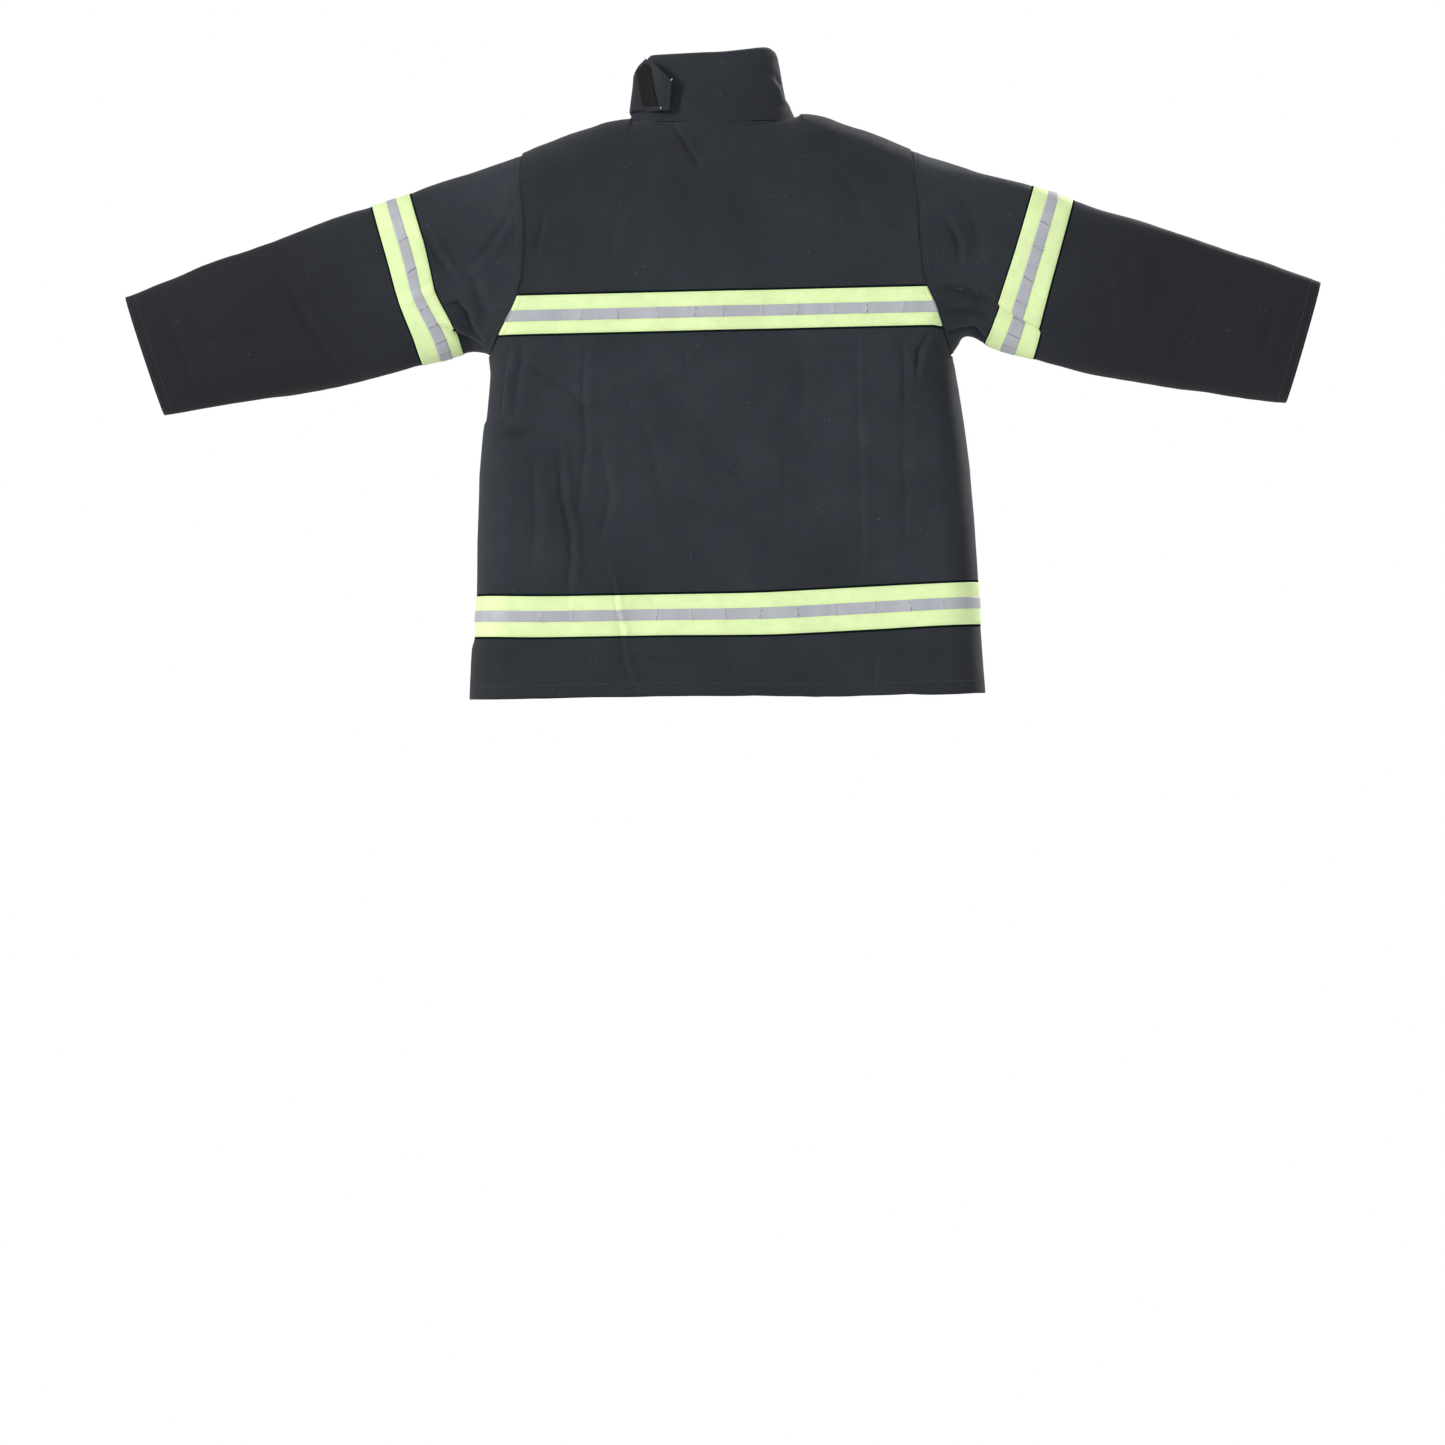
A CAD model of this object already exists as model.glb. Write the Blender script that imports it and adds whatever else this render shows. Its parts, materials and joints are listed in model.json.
# %% [markdown]
# # A turnout coat, hanging from its neck loop
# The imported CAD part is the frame: it says where every piece of the coat is and which body it moves with. The
# CAD cloth is plain and stiff, so each soft piece is made again here as a fine sheet of points that follows
# the same outline, then creased, trimmed and sewn. Everything is worked out in millimetres from the neck
# seam, because that is how a pattern cutter would mark it, and moved into the frame in one place.

# %% Load the frame
import json
import math

import bpy
import numpy as np
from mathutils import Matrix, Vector

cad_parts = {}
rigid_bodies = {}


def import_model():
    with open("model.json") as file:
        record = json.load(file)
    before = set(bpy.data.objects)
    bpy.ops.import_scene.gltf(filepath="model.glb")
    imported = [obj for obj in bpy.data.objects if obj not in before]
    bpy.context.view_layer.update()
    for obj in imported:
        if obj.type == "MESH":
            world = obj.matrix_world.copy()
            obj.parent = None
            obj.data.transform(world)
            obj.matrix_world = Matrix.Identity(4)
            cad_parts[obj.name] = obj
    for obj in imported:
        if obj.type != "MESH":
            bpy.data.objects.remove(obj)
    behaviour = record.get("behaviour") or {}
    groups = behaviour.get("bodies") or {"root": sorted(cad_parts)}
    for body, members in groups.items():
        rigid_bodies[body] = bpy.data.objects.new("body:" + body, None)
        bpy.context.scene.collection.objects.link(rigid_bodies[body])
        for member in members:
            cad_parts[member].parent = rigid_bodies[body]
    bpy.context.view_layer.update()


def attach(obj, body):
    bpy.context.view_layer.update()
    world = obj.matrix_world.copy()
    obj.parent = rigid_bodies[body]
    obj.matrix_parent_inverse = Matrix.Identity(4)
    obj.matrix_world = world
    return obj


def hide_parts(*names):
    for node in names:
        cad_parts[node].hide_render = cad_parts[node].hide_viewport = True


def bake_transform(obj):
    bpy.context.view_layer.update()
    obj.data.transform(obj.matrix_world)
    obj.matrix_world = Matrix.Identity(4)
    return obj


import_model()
FROM_NECK = np.array([0.0, 34.8, 6.6])  # where the middle of the neck seam stands in the frame


def in_frame(points):
    """Millimetres from the neck seam to metres in the frame."""
    return (np.asarray(points, float) + FROM_NECK) / 1000.0


# %% [markdown]
# ## The coat's outline
# A coat that hangs has a clear outline: shoulder ridge, side seams, neck. These few tables hold it, height by
# height. The same numbers could come from a drawn curve, but a table is easy to read and to correct with a
# ruler.

# %% Outline tables
LENGTH = 717.0
BREAK = -120.0  # below this the cloth's rows are level, above it they bend to the neck and shoulder seams
ARM_PIT = -286.5
RIDGE = np.array([(137, 2), (187, -14), (250, -40), (312, -62), (340, -71)], float)
SIDE = np.array([(-717, 322.5), (-636, 317.5), (-585, 314.5), (-500, 311), (-437, 307), (-375, 299),
                 (-330, 294), (-286, 290.5), (-261, 296), (-240, 304), (-213, 315), (-180, 326),
                 (-150, 333), (-120, 337), (-95, 339), (-71, 340)], float)
ARMHOLE = np.array([(-286.5, 289), (-262, 276.5), (-214, 254.5), (-190, 249), (-150, 246), (-75, 246),
                    (-38, 243)], float)
BACK = np.array([(-717, 52), (-400, 58), (-200, 60), (3, 52)], float)
FRONT_NECK, FRONT_HEM = 50.0, 62.0  # how far forward the front stands at the neck and at the hem
SHOULDER_ROUND, SIDE_ROUND = 42.0, 45.0  # how far from the edges the cloth curves in


def soft_read(table, at, reach=9.0):
    """Reads a table with its corners rounded off over the given reach."""
    at = np.asarray(at, float)
    steps = np.linspace(-1, 1, 7)
    return sum(np.interp(at + s * reach, table[:, 0], table[:, 1]) for s in steps) / len(steps)


def ridge_height(x):
    x = np.abs(np.asarray(x, float))
    near = 2 + 28 * np.clip(1 - x / 137, 0, 1) ** 2
    by_collar = 3.4 * np.exp(-(((x - 112) / 24) ** 2))
    return np.where(x < 128, near, soft_read(RIDGE, x)) + by_collar


def side_width(z):
    return soft_read(SIDE, z, 5)


def armhole_x(z):
    return soft_read(ARMHOLE, z, 4)


def rounding(s, radius):
    s = np.clip(s / radius, 0, 1)
    return np.sqrt(np.clip(1 - (1 - s) ** 2, 0, 1))


def front_face(z):
    return FRONT_NECK + (FRONT_HEM - FRONT_NECK) * np.clip(-np.asarray(z, float), 0, None) / LENGTH


def skin_y(x, z, front):
    """How far forward the coat's front, or back, stands at a place across and up."""
    full = front_face(z) if front else -soft_read(BACK, z, 30)
    from_top, from_side = ridge_height(x) - z, side_width(z) - np.abs(x)
    return full * rounding(from_top, SHOULDER_ROUND) * rounding(from_side, SIDE_ROUND)


def soft_step(t):
    t = np.clip(t, 0, 1)
    return t * t * (3 - 2 * t)


print("half chest", round(float(side_width(-290)), 1), "mm")
print("half hem", round(float(side_width(-LENGTH)), 1), "mm")

# %% [markdown]
# ## Creases
# Stiff cloth keeps the folds it was stored with. Each crease here is a line of points on the cloth, with a
# depth and a width: a sharp valley beside a soft ridge. Broad, slow waves go on top. A cloth simulation finds
# folds of its own, but not these ones, and a coat is recognised by where it creases, so they are pressed in
# by hand.

# %% Crease and wave fields
def soft_noise(a, b, size, seed):
    """Smooth random hills from -1 to 1, about one size across."""
    grid = np.random.default_rng(seed).uniform(-1, 1, (64, 64))
    p, q = np.asarray(a, float) / size + 200.0, np.asarray(b, float) / size + 200.0
    i, j = np.floor(p).astype(int), np.floor(q).astype(int)
    s, t = p - i, q - j
    s, t = s * s * s * (s * (s * 6 - 15) + 10), t * t * t * (t * (t * 6 - 15) + 10)
    near = grid[i % 64, j % 64] * (1 - s) + grid[(i + 1) % 64, j % 64] * s
    far = grid[i % 64, (j + 1) % 64] * (1 - s) + grid[(i + 1) % 64, (j + 1) % 64] * s
    return near * (1 - t) + far * t


def crease(x, z, line, deep, wide, ridge=0.6, step=0.0):
    """A valley along the line, a ridge on its left as the line is walked, and a change of level if asked."""
    best, sign, along = np.full(np.shape(x), 1e9), np.zeros(np.shape(x)), np.zeros(np.shape(x))
    x, z = x + 1.3 * soft_noise(x, z, 13, 201), z + 1.3 * soft_noise(x, z, 13, 202)
    line = np.asarray(line, float)
    lengths = np.hypot(*np.diff(line, axis=0).T)
    run = 0.0
    for (ax, az), (bx, bz), length in zip(line, line[1:], lengths):
        dx, dz = (bx - ax) / length, (bz - az) / length
        t = np.clip((x - ax) * dx + (z - az) * dz, 0, length)
        off = np.hypot(x - ax - dx * t, z - az - dz * t)
        near = off < best
        best = np.where(near, off, best)
        sign = np.where(near, np.sign((z - az) * dx - (x - ax) * dz), sign)
        along = np.where(near, (run + t) / lengths.sum(), along)
        run += length
    fade = np.sin(np.pi * np.clip(along, 0, 1)) ** 0.6
    valley = -np.exp(-((best / (0.85 * wide)) ** 1.35))
    hill = 0.7 * ridge * np.exp(-(((best * sign - 2.0 * wide) / (1.5 * wide)) ** 2))
    level = step * np.tanh(best * sign / wide) * np.exp(-((best / (5 * wide)) ** 2))
    return deep * fade * (valley + hill + level)


BACK_CREASES = [  # points across and up, then depth, width, ridge and step
    ([(-64, 12), (-38, -31), (-17, -69)], 4.2, 2.8, 0.3, 0.35),
    ([(-203, -395), (-202, -433), (-199, -476), (-192, -508), (-190, -539), (-196, -598)],
     5.0, 4.2, 0.8, 0.4),
    ([(-168, -268), (-172, -346), (-170, -408), (-182, -495)], 2.6, 4.6, 0.7, 0.0),
    ([(-146, -545), (-138, -588), (-130, -638), (-127, -675), (-109, -719)], 3.2, 2.6, 0.7, 0.6),
    ([(-8, -425), (13, -442), (32, -461)], 2.6, 2.8, 0.6, 0.0),
    ([(171, -265), (170, -333), (172, -415), (172, -590)], 1.9, 3.4, 0.3, 0.6),
    ([(-47, -279), (-39, -329)], 1.3, 3.0, 0.4, 0.0),
    ([(-132, -664), (-77, -673), (-22, -678)], 2.4, 3.0, 0.5, 0.3),
    ([(-46, -701), (10, -704)], 1.2, 3.0, 0.4, 0.0),
    ([(228, -291), (226, -416), (226, -553)], 1.8, 6.0, 0.5, 0.0),
    ([(183, -671), (184, -721)], 1.4, 3.4, 0.4, 0.0),
    ([(-262, -278), (-271, -316), (-275, -368)], 3.6, 3.2, 0.8, 0.4),
    ([(-244, -275), (-254, -325), (-259, -369)], 3.2, 5.0, 0.7, 0.0),
    ([(-300, -380), (-270, -388), (-234, -386)], 3.4, 3.0, 0.7, 0.7),
    ([(-216, -110), (-223, -145), (-228, -172)], 2.0, 4.0, 0.5, 0.0),
    ([(-275, -278), (-226, -310), (-183, -339), (-152, -383)], 3.0, 5.5, 0.8, 0.0),
    ([(211, -128), (242, -151)], 2.0, 4.0, 0.5, 0.0),
    ([(227, -291), (228, -360)], 2.2, 4.0, 0.5, 0.0),
    ([(262, -270), (247, -294), (241, -335)], 4.2, 3.6, 0.8, 0.0),
    ([(222, -278), (232, -310), (234, -345)], 2.0, 4.0, 0.5, 0.0),
    ([(-102, -372), (-84, -416), (-79, -472)], 1.4, 6.0, 0.5, 0.0),
    ([(73, -375), (78, -438), (72, -525)], 1.4, 7.0, 0.5, 0.0),
    ([(2, -60), (30, -66), (66, -63)], 1.0, 4.0, 0.4, 0.0),
    ([(-150, -400), (-142, -470), (-158, -540)], 2.2, 6.0, 0.6, 0.0),
    ([(-238, -410), (-234, -480), (-240, -560)], 2.4, 7.0, 0.6, 0.0),
    ([(98, -270), (102, -330), (96, -400)], 1.2, 6.0, 0.4, 0.0),
    ([(-100, -80), (-128, -130), (-136, -190)], 1.4, 7.0, 0.4, 0.0),
    ([(150, -60), (176, -110), (190, -180)], 1.6, 8.0, 0.5, 0.0),
]
FRONT_CREASES = [
    ([(196, -90), (188, -170), (150, -235)], 2.6, 8.0, 0.6, 0.0),
    ([(262, -286), (214, -340), (196, -400)], 3.4, 7.0, 0.7, 0.2),
    ([(-256, -288), (-204, -330), (-190, -410)], 3.0, 7.0, 0.7, 0.0),
    ([(-210, -100), (-180, -190), (-150, -250)], 2.2, 8.0, 0.6, 0.0),
    ([(236, -420), (228, -520), (236, -600)], 2.2, 7.0, 0.6, 0.2),
    ([(-232, -400), (-240, -510), (-232, -590)], 2.4, 7.0, 0.6, 0.2),
    ([(60, -70), (100, -110), (110, -180)], 1.8, 7.0, 0.6, 0.0),
    ([(-70, -90), (-104, -150), (-98, -200)], 1.8, 7.0, 0.6, 0.0),
]
ARM_CREASES = [
    ([(-362, -140), (-348, -168), (-327, -198)], 5.0, 3.6, 0.9, 0.3),
    ([(-238, -76), (-262, -120), (-290, -158), (-318, -186)], 3.6, 4.6, 0.9, 0.0),
    ([(-345, -226), (-326, -223), (-314, -236), (-309, -256), (-292, -274)], 6.4, 3.6, 0.8, 0.4),
    ([(-352, -246), (-325, -262), (-294, -280)], 6.5, 3.6, 0.9, 0.2),
    ([(-311, -180), (-299, -218), (-285, -256)], 4.0, 5.5, 0.8, 0.0),
    ([(-537, -201), (-510, -252), (-471, -312)], 2.2, 5.0, 0.5, 0.0),
    ([(-352, -199), (-378, -207), (-402, -217)], 3.0, 3.4, 0.5, 0.9),
    ([(268, -216), (303, -218), (332, -228), (354, -242)], 5.6, 3.8, 0.8, 0.4),
    ([(268, -272), (296, -268), (317, -264), (338, -284)], 5.6, 3.8, 0.8, 0.3),
    ([(262, -274), (276, -288), (288, -304)], 6.0, 3.2, 0.9, 0.0),
    ([(284, -130), (300, -158), (298, -190)], 4.4, 3.8, 0.9, 0.0),
    ([(280, -242), (319, -246), (350, -258)], 5.0, 4.0, 0.8, 0.0),
    ([(300, -96), (322, -140), (326, -190)], 2.6, 7.0, 0.6, 0.0),
    ([(346, -240), (372, -254), (400, -271)], 3.4, 3.0, 0.5, 1.0),
    ([(464, -170), (488, -221), (490, -271)], 1.6, 6.0, 0.5, 0.0),
    ([(400, -262), (432, -250), (470, -270)], 1.6, 6.0, 0.5, 0.0),
]


def creases_at(x, z, table):
    return sum(crease(x, z, line, deep, wide, ridge, step) for line, deep, wide, ridge, step in table)


def waves(x, z, seed, size=1.0):
    """Slow waves that hang: longer up and down than across."""
    tall = soft_noise(x, z * 0.35, 70, seed) * 2.0 + soft_noise(x, z * 0.5, 33, seed + 1) * 0.8
    return size * (tall + soft_noise(x, z, 120, seed + 2) * 1.6 + soft_noise(x, z, 14, seed + 3) * 0.22
                   + soft_noise(x, z, 7, seed + 4) * 0.09)


print(len(BACK_CREASES), "creases on the back,", len(ARM_CREASES), "round the sleeves")

# %% [markdown]
# ## A sheet of cloth as a grid
# A piece of cloth is kept as a grid of points. Rows run up the coat and columns across it, so tape, stitching
# and lining can all be placed by reading the same grid a little above or below its face. A subdivision cage
# or a sculpt would look as good, but nothing else could be laid on it so exactly.

# %% The cloth grid
def grid_normals(points, closed=False):
    """Unit normals of a grid of points, rows first."""
    across = np.roll(points, -1, 1) - np.roll(points, 1, 1) if closed else np.gradient(points, axis=1)
    n = np.cross(across, np.gradient(points, axis=0))
    return n / np.maximum(np.linalg.norm(n, axis=2, keepdims=True), 1e-9)


class Cloth:
    """A grid of points on one piece of cloth, in millimetres. away points roughly out of its outer face."""

    def __init__(self, points, away, closed=False):
        self.points, self.closed = points, closed
        self.turn = 1.0 if float((grid_normals(points, closed) * away).sum()) > 0 else -1.0
        self.normals = grid_normals(points, closed) * self.turn

    def press(self, amount):
        """Moves each point out along its normal."""
        self.points = self.points + self.normals * amount[..., None]
        self.normals = grid_normals(self.points, self.closed) * self.turn

    def read(self, rows, columns):
        """The points and normals at fractional row and column numbers."""
        tall, wide = self.points.shape[:2]
        rows, columns = np.broadcast_arrays(np.asarray(rows, float), np.asarray(columns, float))
        r = np.clip(rows, 0, tall - 1.0001)
        c = np.mod(columns, wide) if self.closed else np.clip(columns, 0, wide - 1.0001)
        i, j = np.floor(r).astype(int), np.floor(c).astype(int)
        k = (j + 1) % wide if self.closed else j + 1
        s, t = (r - i)[..., None], (c - j)[..., None]

        def mixed(a):
            return (a[i, j] * (1 - t) + a[i, k] * t) * (1 - s) + (a[i + 1, j] * (1 - t) + a[i + 1, k] * t) * s

        n = mixed(self.normals)
        return mixed(self.points), n / np.maximum(np.linalg.norm(n, axis=-1, keepdims=True), 1e-9)

    def lifted(self, rows, columns, lift):
        points, normals = self.read(rows, columns)
        return points + normals * np.broadcast_to(lift, points.shape[:-1])[..., None]


def pattern_of(points, closed):
    """Flat pattern coordinates of a grid, in metres from its middle column and its first row."""
    across, up = np.zeros(points.shape[:2]), np.zeros(points.shape[:2])
    across[:, 1:] = np.cumsum(np.linalg.norm(np.diff(points, axis=1), axis=2), 1)
    across -= across[:, points.shape[1] // 2][:, None]
    up[1:] = np.cumsum(np.linalg.norm(np.diff(points, axis=0), axis=2), 0)
    if closed:
        up = np.broadcast_to(up.mean(1, keepdims=True), up.shape)
    return np.stack([across, up], -1) / 1000.0


def placed(name, data):
    """A new object in the scene, from a mesh, a curve, a lamp or a camera."""
    thing = bpy.data.objects.new(name, data)
    bpy.context.scene.collection.objects.link(thing)
    return thing


def build(name, points, faces, pattern=None):
    """One Blender object from points in millimetres. Without a pattern it is a small part with flat faces."""
    mesh = bpy.data.meshes.new(name)
    mesh.from_pydata(in_frame(points).tolist(), [], faces if pattern is None else faces.tolist())
    flat = mesh.uv_layers.new(name="pattern")
    if pattern is not None:
        corner = np.zeros(len(mesh.loops), np.int32)
        mesh.loops.foreach_get("vertex_index", corner)
        flat.data.foreach_set("uv", pattern[corner].astype(np.float32).ravel())
        mesh.polygons.foreach_set("use_smooth", np.full(len(mesh.polygons), True))
    mesh.update()
    return placed(name, mesh)


def turned_in(name, cloth, thick, turn=7):
    """A cloth grid whose raw edges are turned in, over the cloth's thickness and a little way underneath."""
    under = cloth.points - cloth.normals * thick

    def hemmed(middle):
        return np.concatenate([under[turn:turn + 1], under[:1], middle, under[-1:], under[-turn - 1:-turn]])

    grid, back_face = hemmed(cloth.points), hemmed(under)
    if not cloth.closed:
        grid = np.concatenate([back_face[:, turn:turn + 1], back_face[:, :1], grid, back_face[:, -1:],
                               back_face[:, -turn - 1:-turn]], 1)
    tall, wide = grid.shape[:2]
    number = np.arange(tall * wide).reshape(tall, wide)
    left, right = (number, np.roll(number, -1, 1)) if cloth.closed else (number[:, :-1], number[:, 1:])
    faces = np.stack([left[:-1], right[:-1], right[1:], left[1:]], -1).reshape(-1, 4)
    if cloth.turn < 0:
        faces = faces[:, ::-1]
    return build(name, grid.reshape(-1, 3), faces, pattern_of(grid, cloth.closed).reshape(-1, 2))


def two_faced(name, outer, inner, closed=False):
    """A sheet with real thickness: an outer grid, an inner grid and the cut edges between them."""
    tall, wide = outer.shape[:2]
    count = tall * wide
    top = np.arange(count).reshape(tall, wide)
    low = top + count
    right = np.roll(top, -1, 1) if closed else top[:, 1:]
    left = top if closed else top[:, :-1]
    face = np.stack([left[:-1], right[:-1], right[1:], left[1:]], -1).reshape(-1, 4)
    rims = [(top[0], low[0], closed), (low[-1], top[-1], closed)]
    if not closed:
        rims += [(low[:, 0], top[:, 0], False), (top[:, -1], low[:, -1], False)]
    edge = []
    for a, b, loop in rims:
        a2, b2 = (np.roll(a, -1), np.roll(b, -1)) if loop else (a[1:], b[1:])
        a1, b1 = (a, b) if loop else (a[:-1], b[:-1])
        edge.append(np.stack([a1, b1, b2, a2], -1))
    edge = np.concatenate(edge)
    i, j = tall // 2, wide // 3
    facing = np.cross(outer[i, j + 1] - outer[i, j], outer[i + 1, j] - outer[i, j])
    faces = np.concatenate([face, face[:, ::-1] + count, edge])
    if facing @ (outer[i, j] - inner[i, j]) < 0:
        faces = faces[:, ::-1]
    flat = pattern_of(outer, closed).reshape(-1, 2)
    points = np.concatenate([outer.reshape(-1, 3), inner.reshape(-1, 3)])
    return build(name, points, faces, np.concatenate([flat, flat]))


def cloth_piece(name, cloth, thick):
    """The whole of a cloth grid as a sheet of the given thickness, lying under its face."""
    return two_faced(name, cloth.points, cloth.points - cloth.normals * thick, cloth.closed)


print("cloth grids and meshes can be made")

# %% [markdown]
# ## How the pieces move
# A stiff piece moves whole with one body. A soft piece that crosses a joint bends from the coat's body to the
# moving one. The fronts turn back about a line from the neck to the hem, and a sleeve bends over a wide band
# that starts at the armpit and ends beyond the tape.

# %% Which body each piece follows
SIDES = {"left": -1.0, "right": 1.0}
FINISH = {}  # the materials, filled in below


def finished(thing, finish, nodes):
    """Says what a piece is made of, and which CAD pieces it stands for."""
    if nodes:
        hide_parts(*nodes)
    thing.data.materials.clear()
    thing.data.materials.append(FINISH[finish])


def fixed(thing, body, slot_name, finish, *nodes):
    """A piece that moves whole with one body."""
    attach(thing, body)
    finished(thing, finish, nodes)


def bending(thing, body, slot_name, finish, *nodes):
    """A soft piece that starts on the coat's body and ends on a front or an arm."""
    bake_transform(thing)
    finished(thing, finish, nodes)


# %% [markdown]
# ## Cloth, tape and metal
# Each finish is worked out by nodes from the flat pattern that every piece carries, so the weave runs along
# the cloth as it was cut. The cloth is a tightly woven, slightly shiny aramid twill in dark blue-grey. It has
# cloudy wear, a few specks of lint, and a bump for its yarns.

# %% Finishes
def linear(*srgb):
    """A colour picked by eye, 0 to 255, as the light values that the shader works in."""
    return tuple(((c / 255 + 0.055) / 1.055) ** 2.4 if c > 10 else c / 255 / 12.92 for c in srgb) + (1.0,)


def shade(colour, share):
    return linear(*(c * share for c in colour))


class Finish:
    """A material under construction, with the few nodes that this coat needs."""

    def __init__(self, name, **settings):
        self.material = bpy.data.materials.new(name)
        self.material.use_nodes = True
        self.nodes, self.links = self.material.node_tree.nodes, self.material.node_tree.links
        self.shader = self.nodes["Principled BSDF"]
        for key, value in settings.items():
            self.shader.inputs[key.replace("_", " ")].default_value = value
        self.pattern = self.nodes.new("ShaderNodeUVMap").outputs[0]
        self.nodes["UV Map"].uv_map = "pattern"
        split = self.nodes.new("ShaderNodeSeparateXYZ")
        self.links.new(self.pattern, split.inputs[0])
        self.across, self.up = split.outputs[0], split.outputs[1]

    def math(self, kind, a, b=0.0, c=0.0):
        node = self.nodes.new("ShaderNodeMath")
        node.operation = kind
        for socket, value in zip(node.inputs, (a, b, c)):
            if isinstance(value, (int, float)):
                socket.default_value = value
            else:
                self.links.new(value, socket)
        return node.outputs[0]

    def clamped(self, value):
        return self.math("MINIMUM", self.math("MAXIMUM", value, 0), 1)

    def noise(self, scale, detail=2.0, rough=0.5, stretch=(1, 1, 1)):
        sized = self.nodes.new("ShaderNodeMapping")
        sized.inputs["Scale"].default_value = stretch
        self.links.new(self.pattern, sized.inputs[0])
        node = self.nodes.new("ShaderNodeTexNoise")
        node.inputs["Scale"].default_value = scale
        node.inputs["Detail"].default_value = detail
        node.inputs["Roughness"].default_value = rough
        self.links.new(sized.outputs[0], node.inputs["Vector"])
        return node.outputs["Fac"]

    def specks(self, scale, size):
        """1 in a few small round spots, else 0."""
        node = self.nodes.new("ShaderNodeTexVoronoi")
        node.inputs["Scale"].default_value = scale
        self.links.new(self.pattern, node.inputs["Vector"])
        return self.math("LESS_THAN", node.outputs["Distance"], size)

    def ramp(self, value, *stops):
        node = self.nodes.new("ShaderNodeValToRGB")
        self.links.new(value, node.inputs[0])
        marks = node.color_ramp.elements
        while len(marks) < len(stops):
            marks.new(0.5)
        for mark, (place, colour) in zip(marks, stops):
            mark.position, mark.color = place, colour
        return node.outputs[0]

    def mix(self, share, a, b):
        node = self.nodes.new("ShaderNodeMix")
        node.data_type = "RGBA"
        for socket, value in zip((node.inputs[0], node.inputs[6], node.inputs[7]), (share, a, b)):
            if isinstance(value, (int, float, tuple)):
                socket.default_value = value
            else:
                self.links.new(value, socket)
        return node.outputs[2]

    def bands(self, along, pitch):
        """A smooth ripple from -1 to 1 with the given pitch in metres."""
        return self.math("SINE", self.math("MULTIPLY", along, 2 * math.pi / pitch))

    def colour(self, value):
        self.links.new(value, self.shader.inputs["Base Color"])

    def rough(self, value):
        self.links.new(value, self.shader.inputs["Roughness"])

    def bump(self, height, strength, distance):
        node = self.nodes.new("ShaderNodeBump")
        node.inputs["Strength"].default_value = strength
        node.inputs["Distance"].default_value = distance
        self.links.new(height, node.inputs["Height"])
        self.links.new(node.outputs[0], self.shader.inputs["Normal"])


def aramid_twill(name, dark, light, fade=None, middle=None):
    """Worn twill. It darkens between two places of fade, or away from the height middle, in metres."""
    cloth = Finish(name, Roughness=0.85, Sheen_Weight=0.05, Sheen_Roughness=0.4, Specular_IOR_Level=0.2)
    clouds = cloth.noise(9, 4, 0.62)
    grain = cloth.noise(420, 2, 0.6, (1, 1.6, 1))
    tone = cloth.math("ADD", cloth.math("MULTIPLY", clouds, 0.62), cloth.math("MULTIPLY", grain, 0.38))
    base = cloth.ramp(tone, (0.34, linear(*dark)), (0.66, linear(*light)))
    warm = cloth.ramp(cloth.noise(38, 3, 0.6), (0.35, (0.95, 0.985, 1.06, 1)), (0.65, (1.06, 1.01, 0.95, 1)))
    tint = cloth.nodes.new("ShaderNodeMix")
    tint.data_type, tint.blend_type = "RGBA", "MULTIPLY"
    tint.inputs[0].default_value = 1.0
    cloth.links.new(base, tint.inputs[6])
    cloth.links.new(warm, tint.inputs[7])
    colour = tint.outputs[2]
    if fade:
        share = cloth.math("DIVIDE", cloth.math("SUBTRACT", cloth.up, fade[0]), fade[1] - fade[0])
        colour = cloth.mix(cloth.math("MULTIPLY", cloth.clamped(share), 0.85), colour, shade(light, 0.52))
    if middle:
        off = cloth.math("ABSOLUTE", cloth.math("SUBTRACT", cloth.up, middle))
        share = cloth.math("MULTIPLY", cloth.math("SUBTRACT", off, 0.08), 4.0)
        colour = cloth.mix(cloth.math("MULTIPLY", cloth.clamped(share), 0.5), colour, shade(light, 0.62))
    patches = cloth.math("GREATER_THAN", cloth.noise(30), 0.60)
    lint = cloth.math("MULTIPLY", cloth.specks(120, 0.055), patches)
    colour = cloth.mix(cloth.math("MULTIPLY", lint, 0.55), colour, linear(140, 148, 160))
    cloth.colour(colour)
    slope = cloth.math("ADD", cloth.across, cloth.math("MULTIPLY", cloth.up, 1.7))
    yarns = cloth.math("MULTIPLY", cloth.bands(cloth.across, 0.0011), 0.6)
    twill = cloth.math("ADD", cloth.bands(slope, 0.0016), yarns)
    fuzz = cloth.math("ADD", cloth.math("MULTIPLY", twill, 0.5), cloth.math("MULTIPLY", grain, 3.0))
    cloth.bump(fuzz, 0.35, 0.00035)
    return cloth.material


def bright_tape(name, main):
    """Fluorescent tape: a fine plain weave that seems to glow, soiled a little."""
    tape = Finish(name, Roughness=0.62, Specular_IOR_Level=0.3)
    soil = tape.noise(24, 4, 0.65)
    tape.colour(tape.ramp(soil, (0.25, shade(main, 0.93)), (0.6, linear(*main))))
    weave = tape.math("MULTIPLY", tape.bands(tape.across, 0.0012), tape.bands(tape.up, 0.0012))
    tape.bump(tape.math("ADD", weave, tape.noise(90, 3)), 0.25, 0.0003)
    return tape.material


def silver_film(name):
    """Glass-bead film: smooth grey that mirrors a little, with darker worn patches."""
    film = Finish(name, Roughness=0.5, Metallic=0.08, Specular_IOR_Level=0.3)
    worn = film.noise(26, 4, 0.6, (1, 0.25, 1))
    film.colour(film.ramp(worn, (0.3, linear(141, 144, 150)), (0.62, linear(155, 157, 162))))
    film.rough(film.math("ADD", film.math("MULTIPLY", film.noise(60, 3), 0.25), 0.42))
    film.bump(film.noise(700, 1), 0.15, 0.0002)
    return film.material


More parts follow.
